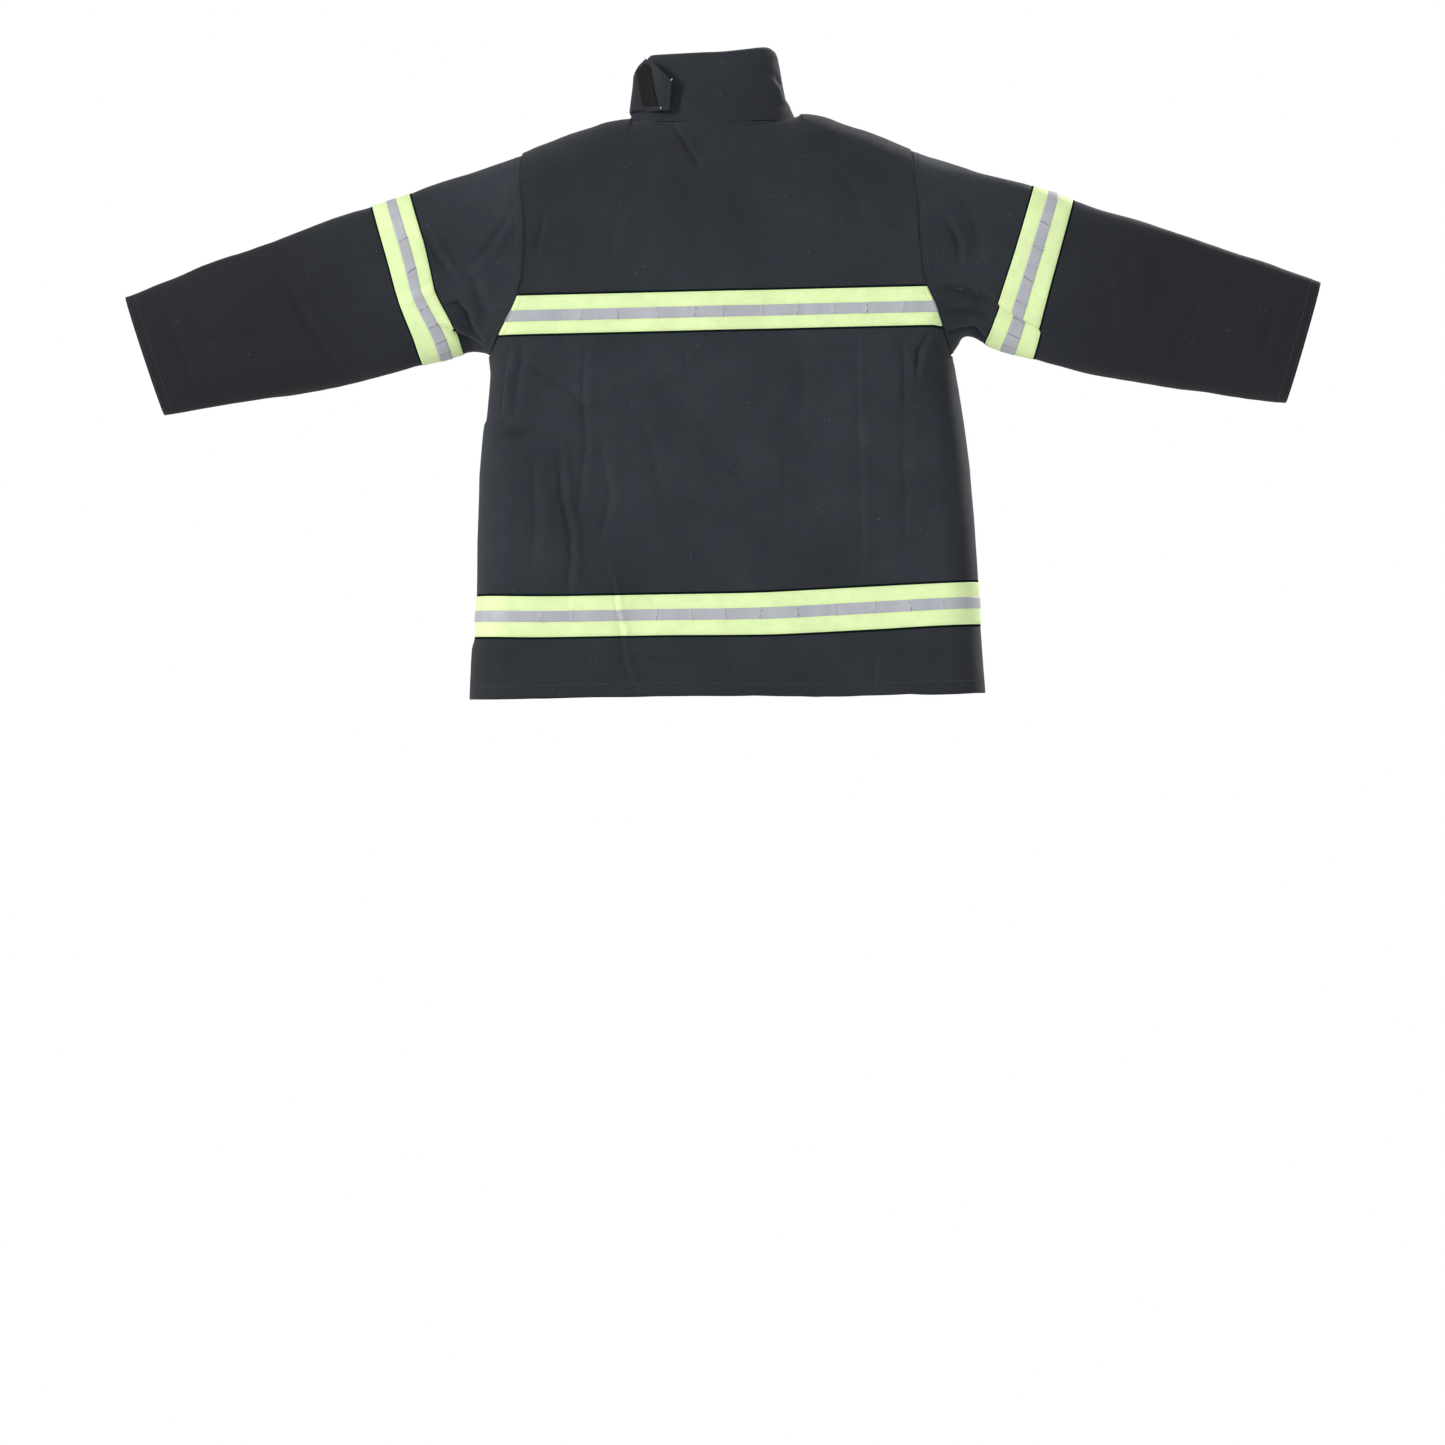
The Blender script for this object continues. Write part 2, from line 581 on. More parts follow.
def lining_cloth(name):
    """Smooth black-grey lining over a quilted felt."""
    lining = Finish(name, Roughness=0.6, Sheen_Weight=0.1)
    clouds = lining.noise(14, 4, 0.6)
    lining.colour(lining.ramp(clouds, (0.35, linear(36, 38, 42)), (0.65, linear(50, 52, 57))))
    weave = lining.math("MULTIPLY", lining.bands(lining.across, 0.0009), lining.bands(lining.up, 0.0009))
    lining.bump(weave, 0.25, 0.0002)
    return lining.material


def knit_cloth(name):
    """Ribbed knit: rows of small loops that rise and fall from rib to rib."""
    knit = Finish(name, Roughness=0.9, Sheen_Weight=0.3)
    knit.colour(knit.ramp(knit.noise(60, 3, 0.6), (0.35, linear(30, 32, 36)), (0.65, linear(46, 48, 54))))
    rise = knit.math("ABSOLUTE", knit.math("MULTIPLY", knit.bands(knit.across, 0.0036), 0.0007))
    loops = knit.math("ABSOLUTE", knit.bands(knit.math("ADD", knit.up, rise), 0.0028))
    knit.bump(loops, 0.7, 0.0008)
    return knit.material


def hook_tape(name, fine):
    """Hook or loop tape: a nap of tiny fibres. The loop side is finer and softer."""
    nap = Finish(name, Roughness=0.95, Sheen_Weight=0.25 if fine else 0.0, Specular_IOR_Level=0.1)
    tone = nap.noise(900 if fine else 560, 2, 0.7)
    nap.colour(nap.ramp(tone, (0.3, linear(16, 15, 14)), (0.7, linear(33, 31, 29))))
    nap.bump(tone, 0.8, 0.0008)
    return nap.material


def thread_finish(name, colour):
    thread = Finish(name, Roughness=0.7, Sheen_Weight=0.2)
    thread.colour(thread.mix(thread.noise(300, 2), shade(colour, 0.8), linear(*colour)))
    return thread.material


def dull(name, colour):
    """Edging and creases with no shine at all, so that each reads as a line."""
    edge = Finish(name, Roughness=1.0, Specular_IOR_Level=0.0)
    edge.colour(edge.mix(edge.noise(200, 2), shade(colour, 0.8), linear(*colour)))
    return edge.material


def brass(name):
    metal = Finish(name, Roughness=0.34, Metallic=1.0)
    metal.colour(metal.ramp(metal.noise(160, 3), (0.3, linear(152, 118, 62)), (0.7, linear(196, 160, 92))))
    metal.bump(metal.noise(900, 2), 0.1, 0.0001)
    return metal.material


def webbing(name):
    strap = Finish(name, Roughness=0.75, Sheen_Weight=0.1)
    strap.colour(strap.ramp(strap.noise(80, 3), (0.3, linear(24, 26, 30)), (0.7, linear(42, 45, 51))))
    ribs = strap.math("ADD", strap.bands(strap.across, 0.0022), strap.bands(strap.up, 0.0013))
    strap.bump(ribs, 0.6, 0.0004)
    return strap.material


FINISH.update({
    "cloth": aramid_twill("aramid twill", (27, 30, 35), (41, 45, 51), middle=0.34),
    "sleeve cloth": aramid_twill("worn aramid twill", (27, 30, 35), (41, 45, 51), (0.08, 0.30)),
    "tape": bright_tape("bright tape", (198, 216, 158)),
    "tape edge": dull("dark tape edge", (10, 24, 22)),
    "film crease": dull("creased film", (96, 98, 104)),
    "silver": silver_film("silver film"),
    "lining": lining_cloth("lining cloth"),
    "knit": knit_cloth("rib knit"),
    "hook": hook_tape("hook tape", False),
    "loop": hook_tape("loop tape", True),
    "thread": thread_finish("dark thread", (30, 33, 38)),
    "lime thread": thread_finish("lime thread", (206, 226, 150)),
    "pale thread": thread_finish("pale thread", (196, 200, 205)),
    "zip tape": webbing("zip tape"),
    "brass": brass("brass"),
    "webbing": webbing("loop webbing"),
})
print(len(FINISH), "finishes")

# %% [markdown]
# ## Stitches
# A seam is what makes cloth look sewn. Each stitch is a small spindle of thread, about three millimetres
# long, that dips into the cloth at both ends. A line painted on would be quicker, but it would vanish in a
# close view.

# %% Thread
STITCH_LONG, STITCH_GAP, THREAD_THICK = 2.7, 1.2, 0.42
SPINDLE = np.array([(0, 2, 4), (0, 4, 3), (0, 3, 5), (0, 5, 2), (1, 4, 2), (1, 3, 4), (1, 5, 3), (1, 2, 5)])


def thread_run(points, normals, long=STITCH_LONG, gap=STITCH_GAP, thick=THREAD_THICK):
    """The points and faces of one line of stitches along a path that lies on the cloth."""
    points, normals = np.asarray(points, float), np.asarray(normals, float)
    steps = np.linalg.norm(np.diff(points, axis=0), axis=1)
    along = np.concatenate([[0], np.cumsum(steps)])
    starts = np.arange(0, max(along[-1] - long, 0.1), long + gap)

    def at(values, where):
        return np.stack([np.interp(where, along, values[:, k]) for k in range(3)], -1)

    first, last, middle = at(points, starts), at(points, starts + long), at(points, starts + long / 2)
    up = at(normals, starts + long / 2)
    side = np.cross(last - first, up)
    side /= np.maximum(np.linalg.norm(side, axis=1, keepdims=True), 1e-9)
    corners = np.stack([first, last, middle + side * thick, middle - side * thick, middle + up * thick,
                        middle - up * thick * 0.5], 1)
    faces = SPINDLE[None] + 6 * np.arange(len(starts))[:, None, None]
    return corners.reshape(-1, 3), faces.reshape(-1, 3)


def sew(name, runs):
    """One piece made of several lines of stitches."""
    points, faces, count = [], [], 0
    for p, f in runs:
        points.append(p)
        faces.append(f + count)
        count += len(p)
    points = np.concatenate(points)
    return build(name, points, np.concatenate(faces), points[:, [0, 2]] / 1000.0)


def stitch_path(cloth, rows, columns, lift=0.25, **sizes):
    points, normals = cloth.read(rows, columns)
    return thread_run(points + normals * lift, normals, **sizes)


print("a stitch every", round(STITCH_LONG + STITCH_GAP, 1), "mm")

# %% [markdown]
# ## The body panels
# The back is one panel from side seam to side seam, and each front is one from the zip to the side seam. Low
# down the rows are level. Above the chest they bend, until the top row runs along the neck seam and the
# shoulder ridge.

# %% Rows and columns of a body panel
LOW_ROWS, HIGH_ROWS = 290, 92
LOWER = np.linspace(-LENGTH, BREAK, LOW_ROWS)
CORNER = 118.0  # the column that ends where collar and shoulder meet
NECK_WIDE, NECK_DEEP = 105.5, 48.9  # half the neck seam, across and from front to back
WRAP = math.radians(87)  # columns lie closer towards the side seam, as on a tube seen from outside
ZIP_EDGE = 12.0  # the cloth of each front starts here
DRAWN_IN = 3.5  # the left side seam is drawn in a little under the arm
YOKE_SWING = 3.5  # the armhole seams sit this far towards the wearer's right
PIT_DROP = 13.0  # the right side seam starts this much lower than the left
SWING = 3.2  # the lower coat hangs this far towards the wearer's right


def neck_seam(angle, front):
    """A point on the seam between collar and body. The angle is 0 at the middle and 90 at the side."""
    a = np.radians(angle)
    drop = -15.8 if front else -3.6
    z = drop + (6.6 - drop) * (1 - np.cos(a)) ** 1.3
    out = (1.0 if front else -1.0) * NECK_DEEP * np.cos(a)
    return NECK_WIDE * np.sin(a), out, z


def lean(x, z):
    """One shoulder hangs a little higher, and its slope isn't the same on both sides of the neck."""
    by_neck = 2.8 * np.exp(-(((x - 118) / 34) ** 2)) - 2.0 * np.exp(-(((x + 130) / 40) ** 2))
    return -1.8 * np.tanh(x / 150) * soft_step((z + 160) / 110) + by_neck * soft_step((z + 70) / 60)


def yoke_swing(z):
    """How far the cloth between shoulder and armpit is shifted across."""
    return YOKE_SWING * soft_step((-z - 60) / 60) * (1 - soft_step((-z - 225) / 45))


def nudged(points):
    """The left side seam runs in below the arm and steps out again, and the lower coat swings right."""
    x, y, z = (points[..., k] for k in range(3))
    drawn_in = DRAWN_IN * soft_step((-z - 284) / 30) * (1 - soft_step((-z - 366) / 16))
    moved = x + drawn_in * soft_step((-x - 190) / 100) + SWING * soft_step((-z - 330) / 200)
    moved += yoke_swing(z) * soft_step((np.abs(x) - 130) / 90)
    on_right = soft_step((x - 200) / 80)
    moved += on_right * (3.0 * np.exp(-(((z + 375) / 60) ** 2)) - 1.5 * soft_step((-z - 560) / 60))
    moved -= 3.6 * soft_step((-x - 200) / 80) * soft_step((-z - 632) / 22)  # flares below the hem band
    drop = PIT_DROP * soft_step((x - 262) / 22) * np.exp(-(((z + 287) / 20) ** 2))
    return np.stack([moved, y, z - drop + lean(x, z)], -1)


def outer_end(z):
    """Half the coat's width at a height: to the side seam, or to the armhole above it."""
    return np.where(z < ARM_PIT, side_width(z), armhole_x(z))


def body_panel(share, front, inner=0.0):
    """Points of a panel. share is 0 at its inner edge, 1 at its side seam and -1 at the other one."""
    spread = np.sin(share * WRAP) / math.sin(WRAP)
    low_end = outer_end(LOWER)
    x_low = np.sign(spread) * inner + (low_end[:, None] - inner) * spread[None, :]
    z_low = np.repeat(LOWER[:, None], len(share), 1)
    base = x_low[-1]
    over = np.abs(base)
    round_neck = np.clip((over - inner) / (CORNER - inner), 0, 1)
    start = math.degrees(math.asin(inner / 106.0))
    neck_x, neck_y, neck_z = neck_seam(start + (90 - start) * round_neck, front)
    outer_x = 106 + (over - CORNER) * (243.0 - 106) / (armhole_x(BREAK) - CORNER)
    in_neck = over <= CORNER
    x_top = np.where(in_neck, neck_x, outer_x) * np.where(base < 0, -1, 1)
    z_top = np.where(in_neck, neck_z, ridge_height(outer_x))
    y_top = np.where(in_neck, neck_y, 0.0)
    t = np.linspace(0, 1, HIGH_ROWS + 1)[1:, None]
    x_up = base + (x_top - base) * soft_step(t)
    z_up = BREAK + (z_top - BREAK) * (1 - (1 - t) ** 1.9)
    lift = (y_top - skin_y(x_top, z_top, front)) * np.clip((t - 0.45) / 0.55, 0, 1) ** 2
    low = np.stack([x_low, skin_y(x_low, z_low, front), z_low], -1)
    return np.concatenate([low, np.stack([x_up, skin_y(x_up, z_up, front) + lift, z_up], -1)])


def row_of(z):
    """The row number of a height below the chest."""
    return (np.asarray(z, float) + LENGTH) / (LENGTH + BREAK) * (LOW_ROWS - 1)


def edge_fade(shape, hem, top, left, right):
    """0 at a panel's edges and 1 further in than the given numbers of rows or columns."""
    tall, wide = shape
    r, c = np.arange(tall)[:, None], np.arange(wide)[None, :]
    return (soft_step(r / hem) * soft_step((tall - 1 - r) / top) * soft_step(c / left)
            * soft_step((wide - 1 - c) / right))


def seam_pull(shape, left=True, right=True, width=1.8, deep=0.55):
    """The pull of the stitching along a panel's sewn edges."""
    tall, wide = shape
    r, c = np.arange(tall)[:, None], np.arange(wide)[None, :]
    near = np.broadcast_to((tall - 1 - r) * 0.8, shape) + 0.0
    if left:
        near = np.minimum(near, c)
    if right:
        near = np.minimum(near, wide - 1 - c)
    neck = 0.9 * np.exp(-(((tall - 1 - r) / 1.3) ** 2))
    return -deep * np.exp(-((near / width) ** 2)) * np.ones(shape) - neck


HEM_BAND_DIP = np.array([(-322, -3), (-220, -6.2), (40, -6.5), (200, -0.5), (322, 3)], float)


def hem_flare(cloth, seed):
    """Hem and bands aren't level: they rise and fall a little between the folds."""
    x, z = cloth.points[..., 0], cloth.points[..., 2]
    low = soft_step((-z - 560) / 157)
    dip = soft_read(HEM_BAND_DIP, x, 30) * np.exp(-(((z + 610) / 62) ** 4))
    dip += (-2.2 + x / 240) * np.exp(-(((z + 237) / 55) ** 4))
    uneven = soft_noise(x, z * 0, 90, seed) * 2.0 - 3.6 * soft_step((x + 90) / 260)
    cloth.points[..., 2] = z + dip + uneven * low


BACK_COLUMNS = 421
FRONT_COLUMNS = 151
back = Cloth(nudged(body_panel(np.linspace(-1, 1, BACK_COLUMNS), False)), (0, -1, 0))
hem_flare(back, 5)
bx, bz = back.points[..., 0], back.points[..., 2]
fold = creases_at(bx, bz, BACK_CREASES) + waves(bx, bz, 11, 0.8)
back.press(fold * edge_fade(bx.shape, 0.5, 8, 10, 10) + seam_pull(bx.shape))

fronts = {}
for side, sign in SIDES.items():
    panel = body_panel(np.linspace(0, 1, FRONT_COLUMNS), True, ZIP_EDGE) * np.array([sign, 1, 1])
    cloth = Cloth(nudged(panel), (0, 1, 0))
    hem_flare(cloth, 6)
    fx, fz = cloth.points[..., 0], cloth.points[..., 2]
    fold = creases_at(fx, fz, FRONT_CREASES) + waves(fx, fz, 31, 0.55)
    cloth.press(fold * edge_fade(fx.shape, 0.5, 8, 18, 10) + seam_pull(fx.shape, left=False))
    fronts[side] = cloth

SHELL = 2.0
fixed(turned_in("back_cloth", back, SHELL), "coat_body", "outer_cloth", "cloth", "back_panel")
for side, cloth in fronts.items():
    bending(turned_in(side + "_front_cloth", cloth, SHELL), side + "_front", "outer_cloth", "cloth",
            side + "_front_panel", side + "_side_panel")
print("back panel", back.points.shape, "and two fronts", fronts["left"].points.shape)

# %% [markdown]
# ## The sleeves
# A sleeve is a tube from the armhole seam to the cuff. It is worked out from a few rings: the seam itself,
# then flat ovals through the tape, the elbow and the cuff. A smooth curve through the rings gives the tube,
# and the tape, the lining and the knitted wristlet read their places from it.

# %% Rings of a sleeve
RINGS = np.array([(250, -40, 290, -286.5, 50), (312, -62, 308, -284, 49), (388, -86.5, 326, -286, 46),
                  (437, -103, 379, -301, 44), (562, -144, 500, -330, 38), (687, -188, 640, -352, 33),
                  (749, -211, 703, -360, 30)], float)  # top across and up, bottom likewise, half the depth
ARMHOLE_TOP = -38.0
TAPE_RING, TAPE_END = 2.0, 3.0  # the rings at the two edges of the sleeve tape
ROUND = 0.88  # below 1 the oval is fuller at its corners
SLEEVE_COLUMNS = 252


def oval(turn):
    """Across and up on a flattened circle: 0 is the front, 90 the top, 180 the back."""
    c, s = np.cos(turn), np.sin(turn)
    return np.sign(c) * np.abs(c) ** ROUND, np.sign(s) * np.abs(s) ** ROUND


def sleeve_ring(number, depth, height):
    tx, tz, bx, bz, half = RINGS[number]
    x = (tx + bx) / 2 + height * (tx - bx) / 2
    z = (tz + bz) / 2 + height * (tz - bz) / 2
    return np.stack([x, depth * half, z], -1)


def armhole_ring(depth, height):
    """The sleeve's first ring lies on the body's own edge."""
    z = ARM_PIT + (height + 1) / 2 * (ARMHOLE_TOP - ARM_PIT)
    x = armhole_x(z)
    y = np.where(depth > 0, skin_y(x, z, True), skin_y(x, z, False))
    return np.stack([x, y * np.clip(np.abs(depth) / 0.25, 0, 1) ** 0.5, z], -1)


def smooth_rings(keys, at):
    """A curve through rings of points, with even tangents where their distances differ."""
    gaps = np.linalg.norm(np.diff(keys, axis=0), axis=2).mean(1)
    place = np.concatenate([[0], np.cumsum(gaps)])
    slopes = np.zeros_like(keys)
    slopes[1:-1] = (keys[2:] - keys[:-2]) / (place[2:] - place[:-2])[:, None, None]
    slopes[0], slopes[-1] = (keys[1] - keys[0]) / gaps[0], (keys[-1] - keys[-2]) / gaps[-1]
    k = np.clip(np.floor(at).astype(int), 0, len(keys) - 2)
    t = (at - k)[:, None, None]
    gap = gaps[k][:, None, None]
    a, b = keys[k], keys[k + 1]
    return (a * (1 + 2 * t) * (1 - t) ** 2 + slopes[k] * gap * t * (1 - t) ** 2 + b * t * t * (3 - 2 * t)
            + slopes[k + 1] * gap * t * t * (t - 1))


turns = np.linspace(0, 2 * math.pi, SLEEVE_COLUMNS, endpoint=False)
depths, heights = oval(turns)
key_rings = np.stack([armhole_ring(depths, heights)] + [sleeve_ring(k, depths, heights) for k in range(1, 7)])
RING_STEPS = [20, 26, 20, 42, 42, 22]
ring_at = np.concatenate([k + np.arange(n) / n for k, n in enumerate(RING_STEPS)] + [[6.0]])
tube = smooth_rings(key_rings, ring_at)


def sleeve_row(ring):
    return np.interp(ring, ring_at, np.arange(len(ring_at)))


def sleeve_column(degrees):
    return np.asarray(degrees, float) / 360 * SLEEVE_COLUMNS


print("a sleeve has", tube.shape[0], "rings of", tube.shape[1])

# %% Creased sleeves
CUFF_CREASES = {
    "left": [([(-640, -250), (-600, -262), (-560, -250)], 1.6, 7.0, 0.6, 0.0),
             ([(-560, -160), (-530, -215), (-505, -262)], 1.6, 9.0, 0.6, 0.0),
             ([(-690, -225), (-668, -290), (-660, -330)], 1.4, 6.0, 0.5, 0.0)],
    "right": [([(610, -205), (585, -262), (560, -318)], 1.8, 8.0, 0.6, 0.0),
              ([(520, -160), (505, -215), (480, -290)], 1.4, 9.0, 0.6, 0.0),
              ([(700, -225), (682, -285), (668, -330)], 1.4, 6.0, 0.5, 0.0)],
}
sleeves = {}


def settle(points, side):
    """The two sleeves don't hang quite alike. Each shifts a little, most at the tape and the cuff."""
    x, y, z = points[..., 0].copy(), points[..., 1], points[..., 2].copy()
    out = np.abs(x)
    x += yoke_swing(z) * (1 - soft_step((out - 258) / 70))
    z += lean(x, z)
    if side == "left":
        by_tape = np.exp(-(((out - 352) / 46) ** 2))
        x += 4.6 * soft_step((out - 330) / 120) + 6.0 * by_tape * soft_step((-z - 212) / 60)
        x -= 5.6 * by_tape * np.clip(1 - np.abs(z + 209) / 62, 0, 1) ** 1.2
        z += 6.6 * soft_step((out - 260) / 240)
    else:
        below_jog = soft_step((-z - 242 - 0.62 * (out - 349)) / 5 + 0.5)  # the tape steps out below a fold
        x += 8.2 * soft_step((out - 292) / 80) - 3.6 * soft_step((out - 560) / 150)
        x += 4.5 * below_jog * np.exp(-(((out - 362) / 50) ** 2))
        z += 9.0 * np.exp(-(((out - 309) / 17) ** 2)) * soft_step((-z - 225) / 60)
        z -= 3.5 * np.exp(-(((out - 398) / 42) ** 2)) * soft_step((-z - 200) / 90)
        by_pit = np.exp(-(((out - 287) / 11) ** 2)) * soft_step((-z - 252) / 34)
        z -= 4.0 * soft_step((out - 310) / 240) + PIT_DROP * by_pit
    return np.stack([x, y, z], -1)


for side, sign in SIDES.items():
    cloth = Cloth(settle(tube * np.array([sign, 1, 1]), side), 0.0, closed=True)
    middle = cloth.points.mean(1, keepdims=True)
    cloth.turn = 1.0 if ((grid_normals(cloth.points, True) * (cloth.points - middle)).sum()) > 0 else -1.0
    cloth.normals = grid_normals(cloth.points, True) * cloth.turn
    x, y, z = (cloth.points[..., k] for k in range(3))
    behind = np.clip(0.5 - y / 16, 0, 1)
    back_folds = creases_at(x, z, ARM_CREASES + CUFF_CREASES[side])
    front_folds = creases_at(-x, z, ARM_CREASES) * 0.8
    seed = 51 if side == "left" else 61
    along = np.abs(x) * 0.955 - z * 0.297
    slow = soft_noise(along, z + 3 * y, 60, seed) * 1.7 + soft_noise(along * 0.6, z, 30, seed + 1) * 0.9
    fold = behind * back_folds + (1 - behind) * front_folds + slow + soft_noise(x, z, 12, seed + 2) * 0.15
    r = np.arange(len(ring_at))[:, None]
    held = soft_step(r / 7) * (1 - 0.3 * np.exp(-(((ring_at[:, None] - 2.5) / 0.4) ** 2)))
    cloth.press(fold * held * soft_step((len(ring_at) - r) / 10 + 0.3) - 0.5 * np.exp(-((r / 1.8) ** 2)))
    sleeves[side] = cloth
    bending(turned_in(side + "_sleeve_cloth", cloth, SHELL), side + "_arm", "outer_cloth", "sleeve cloth",
            side + "_sleeve_head", side + "_sleeve")
    print(side, "sleeve length", round(float(np.linalg.norm(middle[-1] - middle[0])), 0), "mm")

# %% [markdown]
# ## Lining and wristlets
# Under the shell lies a quilted lining. Here it is the same grid again, a little further in, puffed between
# lines of quilting that cross in diamonds. Inside each cuff a ribbed knit tube closes on the wrist.

# %% Lining
LINING_DEPTH = 2.6
DIAMOND, PUFF = 62.0, 1.1


def quilted(cloth):
    """An inner layer of a cloth grid, quilted in diamonds: its outer and inner faces."""
    flat = pattern_of(cloth.points, cloth.closed) * 1000
    a = (flat[..., 0] + flat[..., 1]) / DIAMOND
    b = (flat[..., 0] - flat[..., 1]) / DIAMOND
    line = np.minimum(np.abs(a - np.round(a)), np.abs(b - np.round(b)))
    swell = PUFF * (1 - np.exp(-((line / 0.07) ** 2)))
    outer = cloth.points - cloth.normals * LINING_DEPTH
    return outer, outer - cloth.normals * (0.6 + swell)[..., None]


def coarser(cloth, first, last):
    """Every second point of a cloth grid, between two rows: enough for the lining."""
    cut = Cloth(cloth.points[first:last:2, ::2], 0.0, cloth.closed)
    cut.turn, cut.normals = cloth.turn, cloth.normals[first:last:2, ::2]
    return cut


piece = two_faced("back_lining", *quilted(coarser(back, 6, -2)))
fixed(piece, "coat_body", "liner_cloth", "lining", "body_liner")
for side in SIDES:
    piece = two_faced(side + "_front_lining", *quilted(coarser(fronts[side], 6, -2)))
    bending(piece, side + "_front", "liner_cloth", "lining", side + "_front_liner")
    piece = two_faced(side + "_sleeve_lining", *quilted(coarser(sleeves[side], 4, -7)), closed=True)
    bending(piece, side + "_arm", "liner_cloth", "lining", side + "_sleeve_liner")
print("lining pieces: 5")

# %% Knitted wristlets
WRIST_RINGS = ((5.0, 0.90), (5.35, 0.80), (5.6, 0.70), (5.8, 0.66), (5.97, 0.65))  # place, share of the width
RIB_COUNT = 56
WRIST_COLUMNS = 6 * RIB_COUNT


def wristlet(side):
    """A tube inside the cuff, gathered to the wrist, with ribs that run along the arm."""
    at = np.linspace(WRIST_RINGS[0][0], WRIST_RINGS[-1][0], 34)
    narrow = np.interp(at, *np.array(WRIST_RINGS).T)[:, None, None]
    columns = np.linspace(0, SLEEVE_COLUMNS, WRIST_COLUMNS, endpoint=False)[None]
    ring = sleeves[side].read(sleeve_row(at)[:, None], columns)[0]
    middle = ring.mean(1, keepdims=True)
    ring = middle + (ring - middle) * narrow
    rib = 0.55 * np.cos(np.linspace(0, 2 * math.pi * RIB_COUNT, WRIST_COLUMNS, endpoint=False))[None, :, None]
    out = (ring - middle) / np.linalg.norm(ring - middle, axis=2, keepdims=True)
    welt = 0.5 * np.exp(-(((at - 5.97) / 0.03) ** 2))[:, None, None]
    return ring + out * (rib + welt), ring + out * (rib * 0.5 - 1.6)


for side in SIDES:
    piece = two_faced(side + "_knit_wristlet", *wristlet(side), closed=True)
    fixed(piece, side + "_arm", "knit", "knit", side + "_wristlet")
print("wristlets with", RIB_COUNT, "ribs")

# %% [markdown]
# ## Bright and silver tape
# The bands are woven fluorescent tape with a silver strip sewn along the middle. They are flat strips read
# off the cloth and lifted by the thickness of the tape, so they follow every fold beneath them. The silver is
# stiffer, so it breaks into short flat lengths with sharp creases between.

# %% Bands
def strip(name, cloth, rows, columns, low, high, breaks=None):
    """A flat tape over the cloth, from one lift to another, rounded at its edges. breaks are its creases."""
    tall = rows.shape[0]
    edge = np.minimum(np.arange(tall), tall - 1 - np.arange(tall))[:, None]
    top = low + (high - low) * np.clip(0.35 + edge / 2.0, 0, 1) + 0 * rows
    if breaks is not None:
        top = top + breaks
    return two_faced(name, cloth.lifted(rows, columns, top), cloth.lifted(rows, columns, low + 0 * rows))


EDGE_OUT = 2.7  # how far the dark edging shows beside the tape
SILVER_LOW, SILVER_HIGH = 1.2, 1.85
LAYERS = (  # from the cloth up: name, lift from and to, slot, finish, the CAD pieces' word for it
    ("edging", 0.05, 0.6, "outer_cloth", "tape edge", None),
    ("band", 0.3, 1.3, "bright_tape", "tape", "tape"),
    ("film", SILVER_LOW, SILVER_HIGH, "silver_tape", "silver", "silver"),
)


def film_breaks(places, along, up, seed):
    """Sharp little ridges across the silver at the given places, each leaning its own way."""
    rng = np.random.default_rng(seed)
    out = 0.0 * along
    for place in places:
        slant = rng.uniform(-0.35, 0.35)
        off = along - place - slant * up
        ridge = rng.uniform(0.5, 0.9) * np.exp(-np.abs(off) / 1.5)
        out += ridge + 0.12 * np.tanh(off / 3) * np.exp(-np.abs(off) / 30)
    return out + soft_noise(along, up * 0 + seed, 34, seed) * 0.12


def level_band(name, cloth, ends, heights, columns_of, lifts, places, seed, count):
    """A band along level rows of a body panel, from end to end, with creases if places are given."""
    (x_from, x_to), (z_low, z_high) = ends, heights
    z = np.concatenate([[z_low], np.linspace(z_low + 0.9, z_high - 0.9, 9), [z_high]])
    share = np.linspace(0, 1, count)
    along = x_from(z[:, None]) + (x_to(z[:, None]) - x_from(z[:, None])) * share[None]
    rows = np.repeat(row_of(z)[:, None], count, 1)
    breaks = None
    if places is not None:
        breaks = film_breaks(places, along, z[:, None] - z.mean() + 0 * along, seed)
    return strip(name, cloth, rows, columns_of(along, z[:, None]), *lifts, breaks)


def back_columns(x, z):
    share = np.arcsin(np.clip(x / outer_end(z), -1, 1) * math.sin(WRAP)) / WRAP
    return (share + 1) / 2 * (BACK_COLUMNS - 1)


def front_columns(x, z):
    share = (np.abs(x) - ZIP_EDGE) / (outer_end(z) - ZIP_EDGE)
    return np.arcsin(np.clip(share, 0, 1) * math.sin(WRAP)) / WRAP * (FRONT_COLUMNS - 1)


def left_end(z):
    return -outer_end(z)


def zip_end(z):
    return ZIP_EDGE + 1 + 0 * z


BANDS = {  # band: tape from and to, silver from and to, in height
    "chest": ((-261, -213), (-245, -231), (-175, -127, -78, -30, 4, 54, 98, 142, 182, 225)),
    "hem": ((-636, -585), (-617, -603), (-232, -194, -136, -88, -45, -3, 41, 87, 134, 183, 228, 270)),
}
FRONT_BREAKS = range(40, 300, 43)


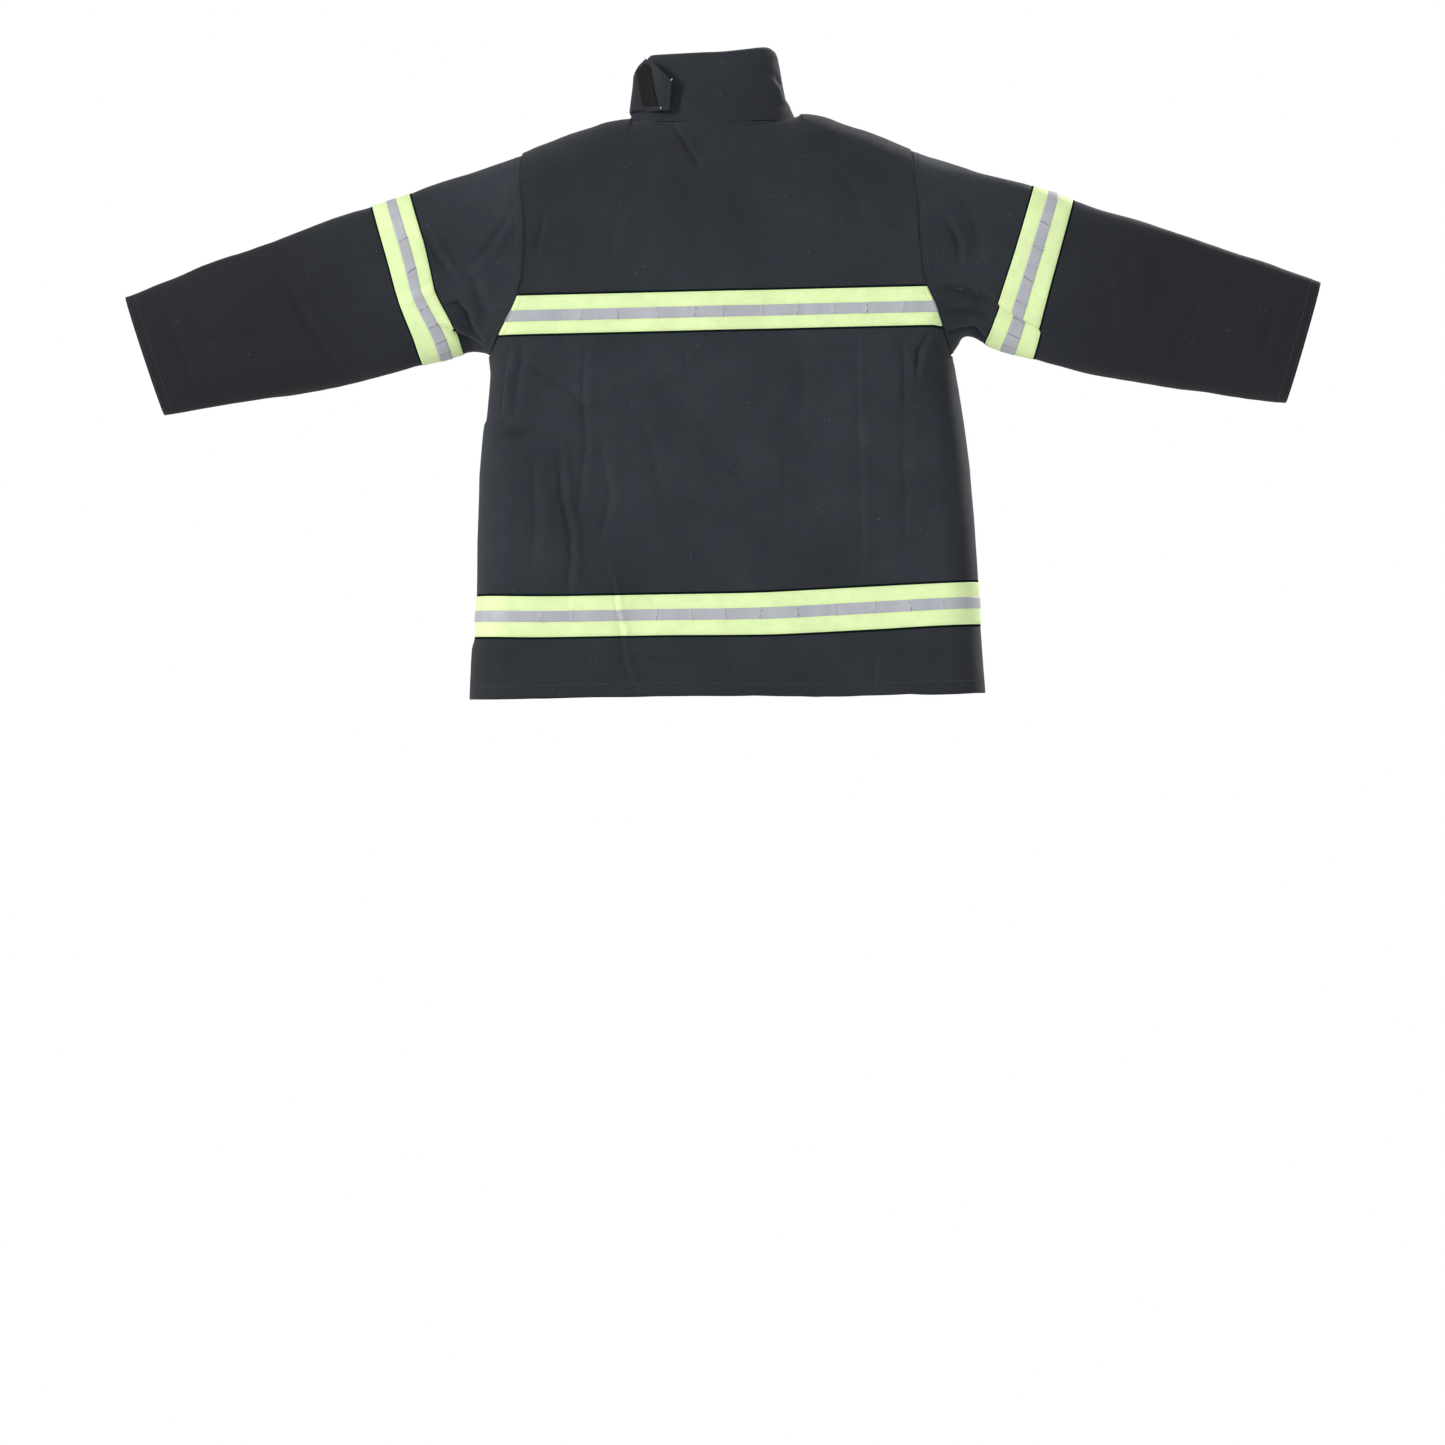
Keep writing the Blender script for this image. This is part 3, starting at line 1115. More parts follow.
def lay_band(band, where, cloth, ends, columns_of, covers, breaks, seed, counts):
    """Edging, tape and film of one band on one panel. covers are the ends of the CAD pieces' names."""
    tape, silver, _ = BANDS[band]
    heights = ((tape[0] - EDGE_OUT, tape[1] + EDGE_OUT), tape, silver)
    for (layer, low, high, slot_name, finish, word), height in zip(LAYERS, heights):
        places, count = (breaks, counts[1]) if layer == "film" else (None, counts[0])
        name = f"{band}_{layer}_{where}"
        piece = level_band(name, cloth, ends, height, columns_of, (low, high), places, seed, count)
        nodes = [f"{band}_{word}_{cover}" for cover in covers if word]
        if where == "back":
            fixed(piece, "coat_body", slot_name, finish, *nodes)
        else:
            bending(piece, where, slot_name, finish, *nodes)


for band, (_, _, back_breaks) in BANDS.items():
    chest = band == "chest"
    covers = ("back", "left_side", "right_side") if chest else ("back",)
    lay_band(band, "back", back, (left_end, outer_end), back_columns, covers, back_breaks, 7 if chest else 8,
             (420, 640))
    for side, seed in (("left", 9), ("right", 10)):
        where = side + "_front"
        lay_band(band, where, fronts[side], (zip_end, outer_end), front_columns, (where,), FRONT_BREAKS, seed,
                 (240, 320))
print("bands on the body:", list(BANDS))

# %% Sleeve bands
FILM_RINGS = (TAPE_RING + 0.33, TAPE_RING + 0.61)
SLEEVE_BREAKS = {
    "left": (0.13, 0.22, 0.31, 0.39, 0.52, 0.64),
    "right": (0.12, 0.21, 0.30, 0.38, 0.47, 0.57, 0.68),
}
UNDERARM, HALF_ROUND = 270.0, 180.0  # degrees round the sleeve


def round_band(name, side, ring_from, ring_to, low, high, breaks=False):
    """A band right round a sleeve, between two rings. Its ends meet in a lap at the underarm seam."""
    ring = np.concatenate([[ring_from], np.linspace(ring_from + 0.02, ring_to - 0.02, 9), [ring_to]])
    angle = UNDERARM + np.linspace(1.0, 359.0, 300)
    rows = np.repeat(sleeve_row(ring)[:, None], len(angle), 1)
    columns = np.repeat(sleeve_column(angle)[None], len(ring), 0)
    bumps = None
    if breaks:
        behind = UNDERARM - HALF_ROUND * np.array(SLEEVE_BREAKS[side])
        where = np.concatenate([behind, np.arange(290, 440, 24)]) % 360
        off = np.abs((angle[None] - where[:, None] + 180) % 360 - 180)
        bumps = (0.75 + 0.2 * np.cos(np.arange(len(where)) * 2.4))[:, None] * np.exp(-off / 0.9)
        bumps = bumps.sum(0)[None] + 0 * rows
    return strip(name, sleeves[side], rows, columns, low, high, bumps)


for side in SIDES:
    rings = ((TAPE_RING - 0.036, TAPE_END + 0.018), (TAPE_RING, TAPE_END), FILM_RINGS)
    for (layer, low, high, slot_name, finish, word), (ring_from, ring_to) in zip(LAYERS, rings):
        piece = round_band(f"{side}_sleeve_{layer}", side, ring_from, ring_to, low, high, layer == "film")
        bending(piece, side + "_arm", slot_name, finish, *([f"{side}_sleeve_{word}"] if word else []))
CREASE_LINE = {"long": 3.0, "gap": -0.8}  # stitches that overlap make an unbroken dark line
for side in SIDES:
    runs = []
    for share in SLEEVE_BREAKS[side]:
        ring = np.linspace(FILM_RINGS[0] + 0.01, FILM_RINGS[1] - 0.01, 12)
        angle = UNDERARM - HALF_ROUND * share + np.linspace(-0.9, 0.9, 12)
        rows, columns = sleeve_row(ring), sleeve_column(angle)
        runs.append(stitch_path(sleeves[side], rows, columns, SILVER_HIGH + 0.35, thick=0.6, **CREASE_LINE))
    bending(sew(side + "_sleeve_film_creases", runs), side + "_arm", "silver_tape", "film crease")
print("bands on the sleeves:", len(SIDES))

# %% [markdown]
# ## The collar
# The collar is a stiff standing band, a little narrower at the top than at the neck seam. Its back half is
# sewn to the coat and its two front wings open with the fronts. It has a face and a lining that meet in a
# rolled edge.

# %% Collar shape
TILT = math.radians(9.5)
COLLAR_DROP = 7.9
COLLAR_TALL = 90.0
NECK_SIZE = np.array([105.0, 48.0])
TOP_SIZE = np.array([77.0, 36.0])
TAB_END = 125  # the collar is pushed out as far round as the tab reaches, in degrees


def collar_place(angle, w, inward=0.0):
    """A point on the collar. The angle is 0 at the back and 90 at the wearer's right, and w is the height."""
    a = np.radians(angle)
    share = np.clip(w, -12, None) / COLLAR_TALL
    waist = -5.0 * np.sin(np.pi * np.clip(share, 0, 1) ** 0.8)  # the wearer's right side is a little hollow
    waist = np.where(np.sin(a) > 0, waist, 3.4 * np.sin(np.pi * np.clip(share + 0.1, 0, 1)))
    size = [NECK_SIZE[k] + (TOP_SIZE[k] - NECK_SIZE[k]) * share - inward for k in (0, 1)]
    x = (size[0] + waist) * np.sin(a) + 1.5 * np.clip(share, 0, 1) * np.abs(np.sin(a))
    pushed = np.clip(-np.sin(a), 0, 1) ** 2 * (np.abs(np.asarray(angle)) <= TAB_END)
    x = x - (3.0 + 6.5 * np.clip(share, 0, 1)) * pushed
    v = -size[1] * np.cos(a)
    y = v * math.cos(TILT) + w * math.sin(TILT)
    z = w * math.cos(TILT) - v * math.sin(TILT) - COLLAR_DROP
    return np.stack(np.broadcast_arrays(x, y, z), -1)


def collar_top(angle):
    """The top edge is highest at the wearer's right and dips in the middle."""
    a = np.radians(angle)
    right, left = np.clip(np.sin(a), 0, 1), np.clip(-np.sin(a), 0, 1)
    back = COLLAR_TALL + 0.4 + 12.6 * right ** 1.6 - 5.2 * right ** 16 + 4.6 * left ** 4
    edge = np.where(np.asarray(angle) > 0, COLLAR_TALL + 7.8, COLLAR_TALL + 5.0)
    wing = edge + (COLLAR_TALL - 2 - edge) * soft_step((np.abs(angle) - 90) / 60)
    return np.where(np.abs(angle) <= 90, back, wing)


def collar_cloth(first, last, columns, inward=0.0, roll=True):
    """One face of the collar as a grid with its top edge rolled over."""
    angle = np.linspace(first, last, columns)
    up = np.linspace(0, 1, 46)[:, None]
    w = -15.0 + (collar_top(angle)[None] + 15.0) * up
    points = collar_place(angle[None], w, inward)
    middle = np.stack([points[..., 0] * 0, points[..., 1] * 0 + 10, points[..., 2]], -1)
    cloth = Cloth(points, points - middle)
    if roll:
        near_top = (collar_top(angle)[None] - w) / 3.2
        cloth.press(-1.9 * (1 - np.sqrt(np.clip(1 - (1 - np.clip(near_top, 0, 1)) ** 2, 0, 1))))
    return cloth


COLLAR_CREASES = [  # across and up, then depth, width, ridge and step
    ([(94, 22), (84, 42), (74, 62)], 3.0, 3.4, 0.8, 0.3),
    ([(60, 66), (76, 50), (86, 40)], 1.6, 4.0, 0.6, 0.0),
    ([(-72, 76), (-46, 66), (-30, 52)], 1.2, 5.0, 0.5, 0.0),
    ([(-50, 10), (-46, 30), (-52, 44)], 1.4, 4.0, 0.6, 0.0),
]


def collar_folds(cloth, seed):
    """Presses the creases into a collar face, and leaves its sewn and its rolled edge as they are."""
    x, z = cloth.points[..., 0], cloth.points[..., 2]
    fold = soft_noise(x, z * 0.5, 42, seed) * 1.0 + soft_noise(x, z, 18, seed + 1) * 0.35
    rows = np.arange(cloth.points.shape[0])[:, None]
    bump = creases_at(x, z, COLLAR_CREASES) * (cloth.points[..., 1] < 12)
    cloth.press((fold + bump) * soft_step((rows - 7) / 5) * soft_step((45 - rows) / 5))


COLLAR_THICK = 1.7
LINING_IN = 1.9
collars = {}
for part, (first, last, columns, nodes) in {
    "back": (-90.0, 90.0, 121, ("collar", "collar_lining")),
    "left": (-178.4, -90.0, 61, ("left_collar_wing",)),
    "right": (90.0, 178.4, 61, ("right_collar_wing",)),
}.items():
    face = collar_cloth(first, last, columns)
    collar_folds(face, 71)
    collars[part] = face
    outer = cloth_piece(part + "_collar_face", face, COLLAR_THICK)
    inside = collar_cloth(first, last, columns, LINING_IN, False)
    inner = cloth_piece(part + "_collar_inside", inside, COLLAR_THICK)
    lay, body = (fixed, "coat_body") if part == "back" else (bending, part + "_front")
    lay(outer, body, "outer_cloth", "cloth", nodes[0])
    lay(inner, body, "liner_cloth", "cloth", nodes[-1])
print("collar", COLLAR_TALL, "mm tall in", len(collars), "parts")

# %% [markdown]
# ## The throat tab
# A short strap is sewn to the left of the collar. Shut, it crosses the throat. Here it hangs open, wrapped
# round the collar's left end, with its hook patch outward and its cut end curling away.

# %% Throat tab
TAB_PATH = np.array([(-53, 39.6), (-68, 34.4), (-84, 26.2), (-95.6, 14.6), (-100.6, 0), (-96.5, -15.4),
                     (-84.8, -27.4), (-69, -38.8), (-53, -46.5)], float)  # across and out, along the collar
TAB_FROM, TAB_TO = 20.0, 68.0
TAB_THICK = 2.6
TAB_COLUMNS, TAB_ROWS = 128, 26


def smooth_line(points, count):
    """An even curve through a few points."""
    keys = np.concatenate([2 * points[:1] - points[1:2], points, 2 * points[-1:] - points[-2:-1]])
    at = np.linspace(0, len(points) - 1.0001, count)
    k, t = np.floor(at).astype(int), (at % 1)[:, None]
    a, b, c, d = (keys[k + n] for n in range(4))
    square, cube = (2 * a - 5 * b + 4 * c - d) * t ** 2, (3 * b - a - 3 * c + d) * t ** 3
    return 0.5 * (2 * b + (c - a) * t + square + cube)


def tab_grid():
    """The tab's inner surface: along it the path, up it the tab's width, with a peaked and curling end."""
    line = smooth_line(TAB_PATH, 400)
    line = line[np.linspace(0, len(line) - 1, TAB_COLUMNS).astype(int)]
    share = np.linspace(0, 1, TAB_COLUMNS)[None]
    w = np.linspace(TAB_FROM, TAB_TO, TAB_ROWS)[:, None]
    tall = (w - TAB_FROM) / (TAB_TO - TAB_FROM)
    peak = np.interp(share, (0.0, 0.52, 0.64, 0.74, 0.84, 1.0), (0, 0, 11, 17, 7, -18))
    w = w + tall * peak - (1 - tall) * 9.0 * soft_step((share - 0.6) / 0.4)
    curl = 6.5 * soft_step((share - 0.78) / 0.16) - 3.5 * np.clip((share - 0.93) / 0.07, 0, 1) ** 2
    hollow = 2.6 * np.exp(-(((share - 0.72 - 0.12 * (0.5 - tall)) / 0.05) ** 2))
    v = line[None, :, 1] - curl * (0.75 + 0.25 * np.cos(tall * 7)) + hollow
    x = line[None, :, 0] * (1.055 - 0.06 * tall) - 0.4 * curl
    y = v * math.cos(TILT) + w * math.sin(TILT)
    z = w * math.cos(TILT) - v * math.sin(TILT) - COLLAR_DROP
    points = np.stack(np.broadcast_arrays(x, y, z), -1)
    middle = points * np.array([0.0, 0.0, 1.0]) + np.array([0.0, 10.0, 0.0])
    return Cloth(points, points - middle)


tab = tab_grid()
tx, ty, tz = (tab.points[..., k] for k in range(3))
edge = np.minimum(np.arange(TAB_ROWS), TAB_ROWS - 1 - np.arange(TAB_ROWS))[:, None] + 0 * tx
tab.press(TAB_THICK * np.clip(0.45 + edge / 3, 0, 1) + soft_noise(tx + 2 * ty, tz, 22, 81) * 0.3)
piece = two_faced("throat_tab_cloth", tab.points, tab_grid().points)
fixed(piece, "tab", "outer_cloth", "cloth", "throat_tab")
patch_rows, patch_columns = np.meshgrid(np.linspace(2.6, 22.6, 30), np.linspace(0, 1, 30), indexing="ij")
patch_columns = 95 + 21 * patch_columns - (patch_rows - 2.6) * 0.72
piece = strip("throat_tab_hooks", tab, patch_rows, patch_columns, 0.1, 1.3)
fixed(piece, "tab", "hook_and_loop", "hook", "throat_tab_hook")


def border(rows, columns):
    """Row and column numbers round a rectangle, for stitching."""
    (r0, r1), (c0, c1) = rows, columns
    corners = np.array([(r0, c0), (r0, c1), (r1, c1), (r1, c0), (r0, c0)], float)
    path = np.concatenate([np.linspace(a, b, 60) for a, b in zip(corners, corners[1:])])
    return path[:, 0], path[:, 1]


runs = [stitch_path(tab, *border((1.6, 23.4), (2, 125)), lift=0.2)]
fixed(sew("throat_tab_stitching", runs), "tab", "outer_cloth", "thread")


def loose_ends(name, places, seed):
    """Short cut ends of pale thread, curling out of a seam."""
    rng = np.random.default_rng(seed)
    curve = bpy.data.curves.new(name, "CURVE")
    curve.dimensions, curve.bevel_depth, curve.bevel_resolution = "3D", 0.0004, 2
    for x, y, z in places:
        spline = curve.splines.new("POLY")
        spline.points.add(9)
        way, bow = rng.uniform(-1, 1, 3), rng.uniform(-1, 1, 3)
        for k in range(10):
            t = k / 9
            straight = 3 * t * np.array([way[0], -0.6, way[2]])
            p = np.array([x, y, z]) + straight + 1.6 * t * t * bow * [1, 0.3, 1]
            spline.points[k].co = (*in_frame(p), 1)
    shape = placed(name, curve)
    mesh = bpy.data.meshes.new_from_object(shape.evaluated_get(bpy.context.evaluated_depsgraph_get()))
    bpy.data.objects.remove(shape)
    mesh.uv_layers.new(name="pattern")
    return placed(name, mesh)


tips = [tab.read(row, column)[0] for row, column in ((1, 118), (24, 126), (24.6, 93))]
fixed(loose_ends("throat_tab_thread_ends", tips, 4), "tab", "outer_cloth", "pale thread")
print("throat tab", TAB_TO - TAB_FROM, "mm wide")

# %% [markdown]
# ## Topstitching on the shell
# A line of stitches runs beside each seam and hem, and one holds each edge of each band. The neck seam is
# bound with a thin dark tape.

# %% Sewn lines
def level_run(cloth, columns_of, z, x_from, x_to, count=200, **sizes):
    along, level = np.linspace(x_from, x_to, count), np.full(count, float(z))
    return stitch_path(cloth, row_of(level), columns_of(along, level), **sizes)


def seam_run(cloth, rows, column_number):
    r = np.linspace(*rows, 240)
    return stitch_path(cloth, r, np.full(240, float(column_number)))


def row_run(cloth, row, columns, **sizes):
    return stitch_path(cloth, np.full(len(columns), float(row)), columns, **sizes)


ON_TAPE = {"lift": 1.3, "thick": 0.3}
HEM_LINE = -LENGTH + 15
TOP_ROW = LOW_ROWS + HIGH_ROWS - 1
SIDE_SEAM = (row_of(ARM_PIT) + 2, TOP_ROW - 6)
band_lines = [z for tape, film, _ in BANDS.values()
              for z in (tape[0] + 2, tape[1] - 2, film[0] - 1.5, film[1] + 1.5)]

neck_rows, neck_columns = np.meshgrid(TOP_ROW - np.array([0.9, 0.45, 0.0]),
                                      np.linspace(0, BACK_COLUMNS - 1, 600), indexing="ij")
on_neck = np.abs(back.read(neck_rows[2], neck_columns[2])[0][:, 0]) < CORNER - 14
piece = strip("neck_seam_binding", back, neck_rows[:, on_neck], neck_columns[:, on_neck], 0.1, 0.7)
fixed(piece, "coat_body", "outer_cloth", "tape edge")

runs = [level_run(back, back_columns, HEM_LINE, -outer_end(HEM_LINE) + 2, outer_end(HEM_LINE) - 2, 400)]
runs += [seam_run(back, SIDE_SEAM, c) for c in (5, BACK_COLUMNS - 6)]
runs += [row_run(back, TOP_ROW - 3, np.linspace(4, BACK_COLUMNS - 5, 300))]
fixed(sew("back_stitching", runs), "coat_body", "outer_cloth", "thread")
runs = [level_run(back, back_columns, z, -outer_end(z) + 2, outer_end(z) - 2, 400, **ON_TAPE)
        for z in band_lines]
z = np.linspace(-260, -214, 40)
for end in (-1, 1):  # across each end of the chest band
    runs.append(stitch_path(back, row_of(z), back_columns(end * (outer_end(z) - 5.5), z), lift=1.9))
fixed(sew("back_band_stitching", runs), "coat_body", "bright_tape", "lime thread")
for side in SIDES:
    cloth = fronts[side]
    runs = [level_run(cloth, front_columns, HEM_LINE, ZIP_EDGE + 2, outer_end(HEM_LINE) - 2)]
    runs += [seam_run(cloth, (2, TOP_ROW - 2), 2.2), seam_run(cloth, SIDE_SEAM, FRONT_COLUMNS - 6)]
    runs += [row_run(cloth, TOP_ROW - 3, np.linspace(3, FRONT_COLUMNS - 5, 200))]
    bending(sew(side + "_front_stitching", runs), side + "_front", "outer_cloth", "thread")
    runs = [level_run(cloth, front_columns, z, ZIP_EDGE + 3, outer_end(z) - 2, **ON_TAPE) for z in band_lines]
    bending(sew(side + "_front_band_stitching", runs), side + "_front", "bright_tape", "lime thread")
    cloth = sleeves[side]
    turn = np.linspace(0, SLEEVE_COLUMNS, 400)
    last = len(ring_at) - 1
    runs = [row_run(cloth, last - d, turn) for d in (1.0, 4.2)]
    for angle in (258, 263):  # the underarm seam
        runs.append(stitch_path(cloth, np.linspace(4, last - 5, 400), np.full(400, sleeve_column(angle))))
    runs += [row_run(cloth, 2.6, turn)]
    bending(sew(side + "_sleeve_stitching", runs), side + "_arm", "outer_cloth", "thread")
    edges = (TAPE_RING + 0.04, FILM_RINGS[0] - 0.03, FILM_RINGS[1] + 0.03, TAPE_END - 0.04)
    runs = [row_run(cloth, sleeve_row(ring), turn, **ON_TAPE) for ring in edges]
    bending(sew(side + "_sleeve_band_stitching", runs), side + "_arm", "bright_tape", "lime thread")
print("stitching on the back, two fronts and two sleeves")

# %% Creases in the silver
for band, (tape, silver, places) in BANDS.items():
    runs = []
    for number, place in enumerate(places):
        z = np.linspace(silver[0] + 0.6, silver[1] - 0.6, 10)
        along = place + (z - np.mean(silver)) * 0.25 * math.cos(2.1 * number)
        runs.append(stitch_path(back, row_of(z), back_columns(along, z), SILVER_HIGH + 0.2, thick=0.55,
                                **CREASE_LINE))
    fixed(sew(band + "_film_creases", runs), "coat_body", "silver_tape", "film crease")
print("creases in the silver:", sum(len(places) for _, _, places in BANDS.values()))

# %% [markdown]
# ## The front closure
# Down the front runs a heavy zip, and over it a storm flap held by hook and loop tape. The zip is two tapes
# with brass teeth that alternate, and a slider with a pull that swings. The flap is a double strip, sewn down
# on the wearer's left and free on the right, so that water can't blow in.

# %% The zip
ZIP_TOP, ZIP_END = -22.0, -700.0
TOOTH_PITCH = 3.0


def flat_sheet(name, x_from, x_to, z_from, z_to, under, over, size):
    """A flat strip on the front with rounded edges. under and over are its heights above the front face."""
    wide = max(int(abs(x_to - x_from) / size) + 1, 8)
    tall = max(int(abs(z_to - z_from) / size) + 1, 8)
    x, z = np.meshgrid(np.linspace(x_from, x_to, wide), np.linspace(z_from, z_to, tall))
    near = np.minimum(np.minimum(abs(x - x_from), abs(x_to - x)), np.minimum(abs(z - z_from), abs(z_to - z)))
    low = front_face(z) + under
    top = low + (over - under) * (0.35 + 0.65 * rounding(near + 0.25, 2.2))
    return two_faced(name, np.stack([x, top, z], -1), np.stack([x, low, z], -1))


def tooth_row(name, sign):
    """Brass teeth along one edge: each is a small block with a rounded head that reaches past the middle."""
    places = np.arange(ZIP_END + 1, ZIP_TOP - 1, TOOTH_PITCH) + (TOOTH_PITCH / 2 if sign > 0 else 0)
    outline = [(0.55, 0.45), (0.9, 0.72), (2.35, 0.72), (2.35, -0.72), (0.9, -0.72), (0.55, -0.45)]
    points, faces = [], []
    for number, z in enumerate(places):
        y = float(front_face(z))
        for lift, grow in ((-2.5, 1.0), (-0.1, 1.0), (0.3, 0.8)):
            middle = 1.5
            points += [(sign * (middle + (x - middle) * grow), y + lift, z + h * grow) for x, h in outline]
        base = number * 18
        for layer in (0, 6):
            for k in range(6):
                n = (k + 1) % 6
                faces.append((base + layer + k, base + layer + n, base + layer + 6 + n, base + layer + 6 + k))
        faces += [tuple(base + 12 + k for k in range(6)), tuple(base + k for k in reversed(range(6)))]
    return build(name, points, faces)


for side, sign in SIDES.items():
    teeth = tooth_row(side + "_zip_teeth_row", sign)
    fixed(teeth, side + "_front", "zip_metal", "brass", side + "_zip_teeth")
    low, high = sorted((sign * 2.6, sign * 11.9))
    tape = flat_sheet(side + "_zip_tape_strip", low, high, ZIP_END, ZIP_TOP, -1.6, -0.6, 1.2)
    fixed(tape, side + "_front", "zip_tape", "zip tape", side + "_zip_tape")


def plate(name, outline, y_low, y_high, chamfer=0.5):
    """A small flat metal part with bevelled edges, from an outline across and up."""
    outline = np.array(outline, float)
    middle = outline.mean(0)
    small = middle + (outline - middle) * (1 - chamfer / np.abs(outline - middle).max())
    rings = [(small, y_low), (outline, y_low + chamfer), (outline, y_high - chamfer), (small, y_high)]
    count = len(outline)
    points = np.concatenate([np.column_stack([r[:, 0], np.full(count, y), r[:, 1]]) for r, y in rings])
    faces = [tuple(range(count - 1, -1, -1)), tuple(3 * count + k for k in range(count))]
    for ring in range(3):
        for k in range(count):
            n = (k + 1) % count
            faces.append((ring * count + k, ring * count + n, (ring + 1) * count + n, (ring + 1) * count + k))
    return build(name, points, faces)


def rounded_outline(x0, x1, z0, z1, radius, taper=1.0):
    """A rectangle across and up with round corners. taper narrows its lower end."""
    out = []
    for x, z, start in ((x1, z1, 0), (x0, z1, 90), (x0, z0, 180), (x1, z0, 270)):
        cx = x - math.copysign(radius, x - (x0 + x1) / 2)
        cz = z - math.copysign(radius, z - (z0 + z1) / 2)
        width = taper if z == z0 else 1.0
        for a in np.radians(np.linspace(start, start + 90, 5)):
            out.append(((cx + radius * math.cos(a)) * width, cz + radius * math.sin(a)))
    return out


slider_y = float(front_face(ZIP_TOP - 11))
outline = rounded_outline(-7, 7, ZIP_TOP - 22, ZIP_TOP, 3.5, taper=0.7)
piece = plate("slider_body", outline, slider_y + 0.6, slider_y + 3.1)
fixed(piece, "slider", "zip_metal", "brass", "zip_slider")
outline = rounded_outline(-2, 2, ZIP_TOP - 17, ZIP_TOP - 3, 1.4)
piece = plate("slider_bridge", outline, slider_y + 3.0, slider_y + 5.0, 0.6)
fixed(piece, "slider", "zip_metal", "brass")
pull_y = slider_y + 5.3
outline = rounded_outline(-5, 5, ZIP_TOP - 44, ZIP_TOP - 17.5, 3.2)
piece = plate("slider_pull", outline, pull_y, pull_y + 2.0)
fixed(piece, "pull", "zip_metal", "brass", "zip_pull")
print("zip of", int((ZIP_TOP - ZIP_END) / TOOTH_PITCH), "teeth a side")

# %% The storm flap
FLAP_TOP, FLAP_END, FLAP_LIFT = -64.0, -705.0, 8.2
FLAP_OUTLINE = np.array([(-39.5, 2.9), (-34, 6.2), (-29, 9.0), (-24, 10.9), (-12, 11.3), (10, 11.3),
                         (28, 11.1), (36.5, 10.8), (38, 9.7)], float)  # across and out, the sewn edge first


def storm_flap():
    """The flap's cross-section, swept down the front, with a slow wave along its free edge."""
    line = smooth_line(FLAP_OUTLINE, 44)
    z = np.linspace(FLAP_END, FLAP_TOP, 150)
    x = np.repeat(line[:, 0][None], len(z), 0)
    deep = np.gradient(line, axis=0)
    normal = np.column_stack([-deep[:, 1], deep[:, 0]])
    normal /= np.linalg.norm(normal, axis=1, keepdims=True)
    inner = line - normal * 2.7
    inner[-1] = line[-1] + (-0.3, -1.2)
    z = np.repeat(z[:, None], line.shape[0], 1)
    wave = soft_noise(z * 0.5, x, 40, 91) * 1.1 * soft_step((x + 30) / 50)
    near = np.minimum(z - FLAP_END, FLAP_TOP - z)
    tuck = 1.2 * (1 - rounding(near + 0.2, 2.6))
    base = front_face(z)
    outer = np.stack([x, base + line[:, 1][None] + wave - tuck, z], -1)
    under = np.stack([np.repeat(inner[:, 0][None], z.shape[0], 0), base + inner[:, 1][None] + wave, z], -1)
    return outer, under


flap_outer, flap_under = storm_flap()
flap = Cloth(flap_outer, (0, 1, 0))
piece = two_faced("storm_flap_cloth", flap_outer, flap_under)
fixed(piece, "storm_cover", "outer_cloth", "cloth", "storm_flap")
runs = [stitch_path(flap, *border((1.2, 148), (9, 41.6))), stitch_path(flap, *border((3, 146), (13, 39.6)))]
fixed(sew("storm_flap_stitching", runs), "storm_cover", "outer_cloth", "thread")
PATCH = (14, 32, FLAP_END + 20, FLAP_TOP - 14)  # across from and to, up from and to
hooks = flat_sheet("storm_flap_hooks", *PATCH, FLAP_LIFT - 1.3, FLAP_LIFT - 0.2, 2.0)
fixed(hooks, "storm_cover", "hook_and_loop", "hook", "storm_flap_hook")
loops = flat_sheet("storm_flap_loops", *PATCH, 0.2, 1.5, 2.0)
fixed(loops, "right_front", "hook_and_loop", "loop", "storm_flap_loop")
print("storm flap", FLAP_TOP - FLAP_END, "mm long")

# %% [markdown]
# ## Pockets
# A bellows pocket grows from a flat mouth to a deep bottom so that a gloved hand can get in. Its front is one
# sheet that turns round three sides. The flap hangs from its top edge and closes with a patch of hook tape.

# %% Bellows pockets
POCKET_X, POCKET_WIDE, POCKET_TOP, POCKET_HIGH = 54.0, 120.0, -432.0, 146.0
POCKET_MOUTH, POCKET_DEEP, POCKET_FLAP = 9.0, 26.0, 62.0


def pleat(share):
    """How far the side of a pocket folds inwards."""
    return 1.8 * np.abs(np.sin(share * math.pi * 1.5)) * (share > 0)


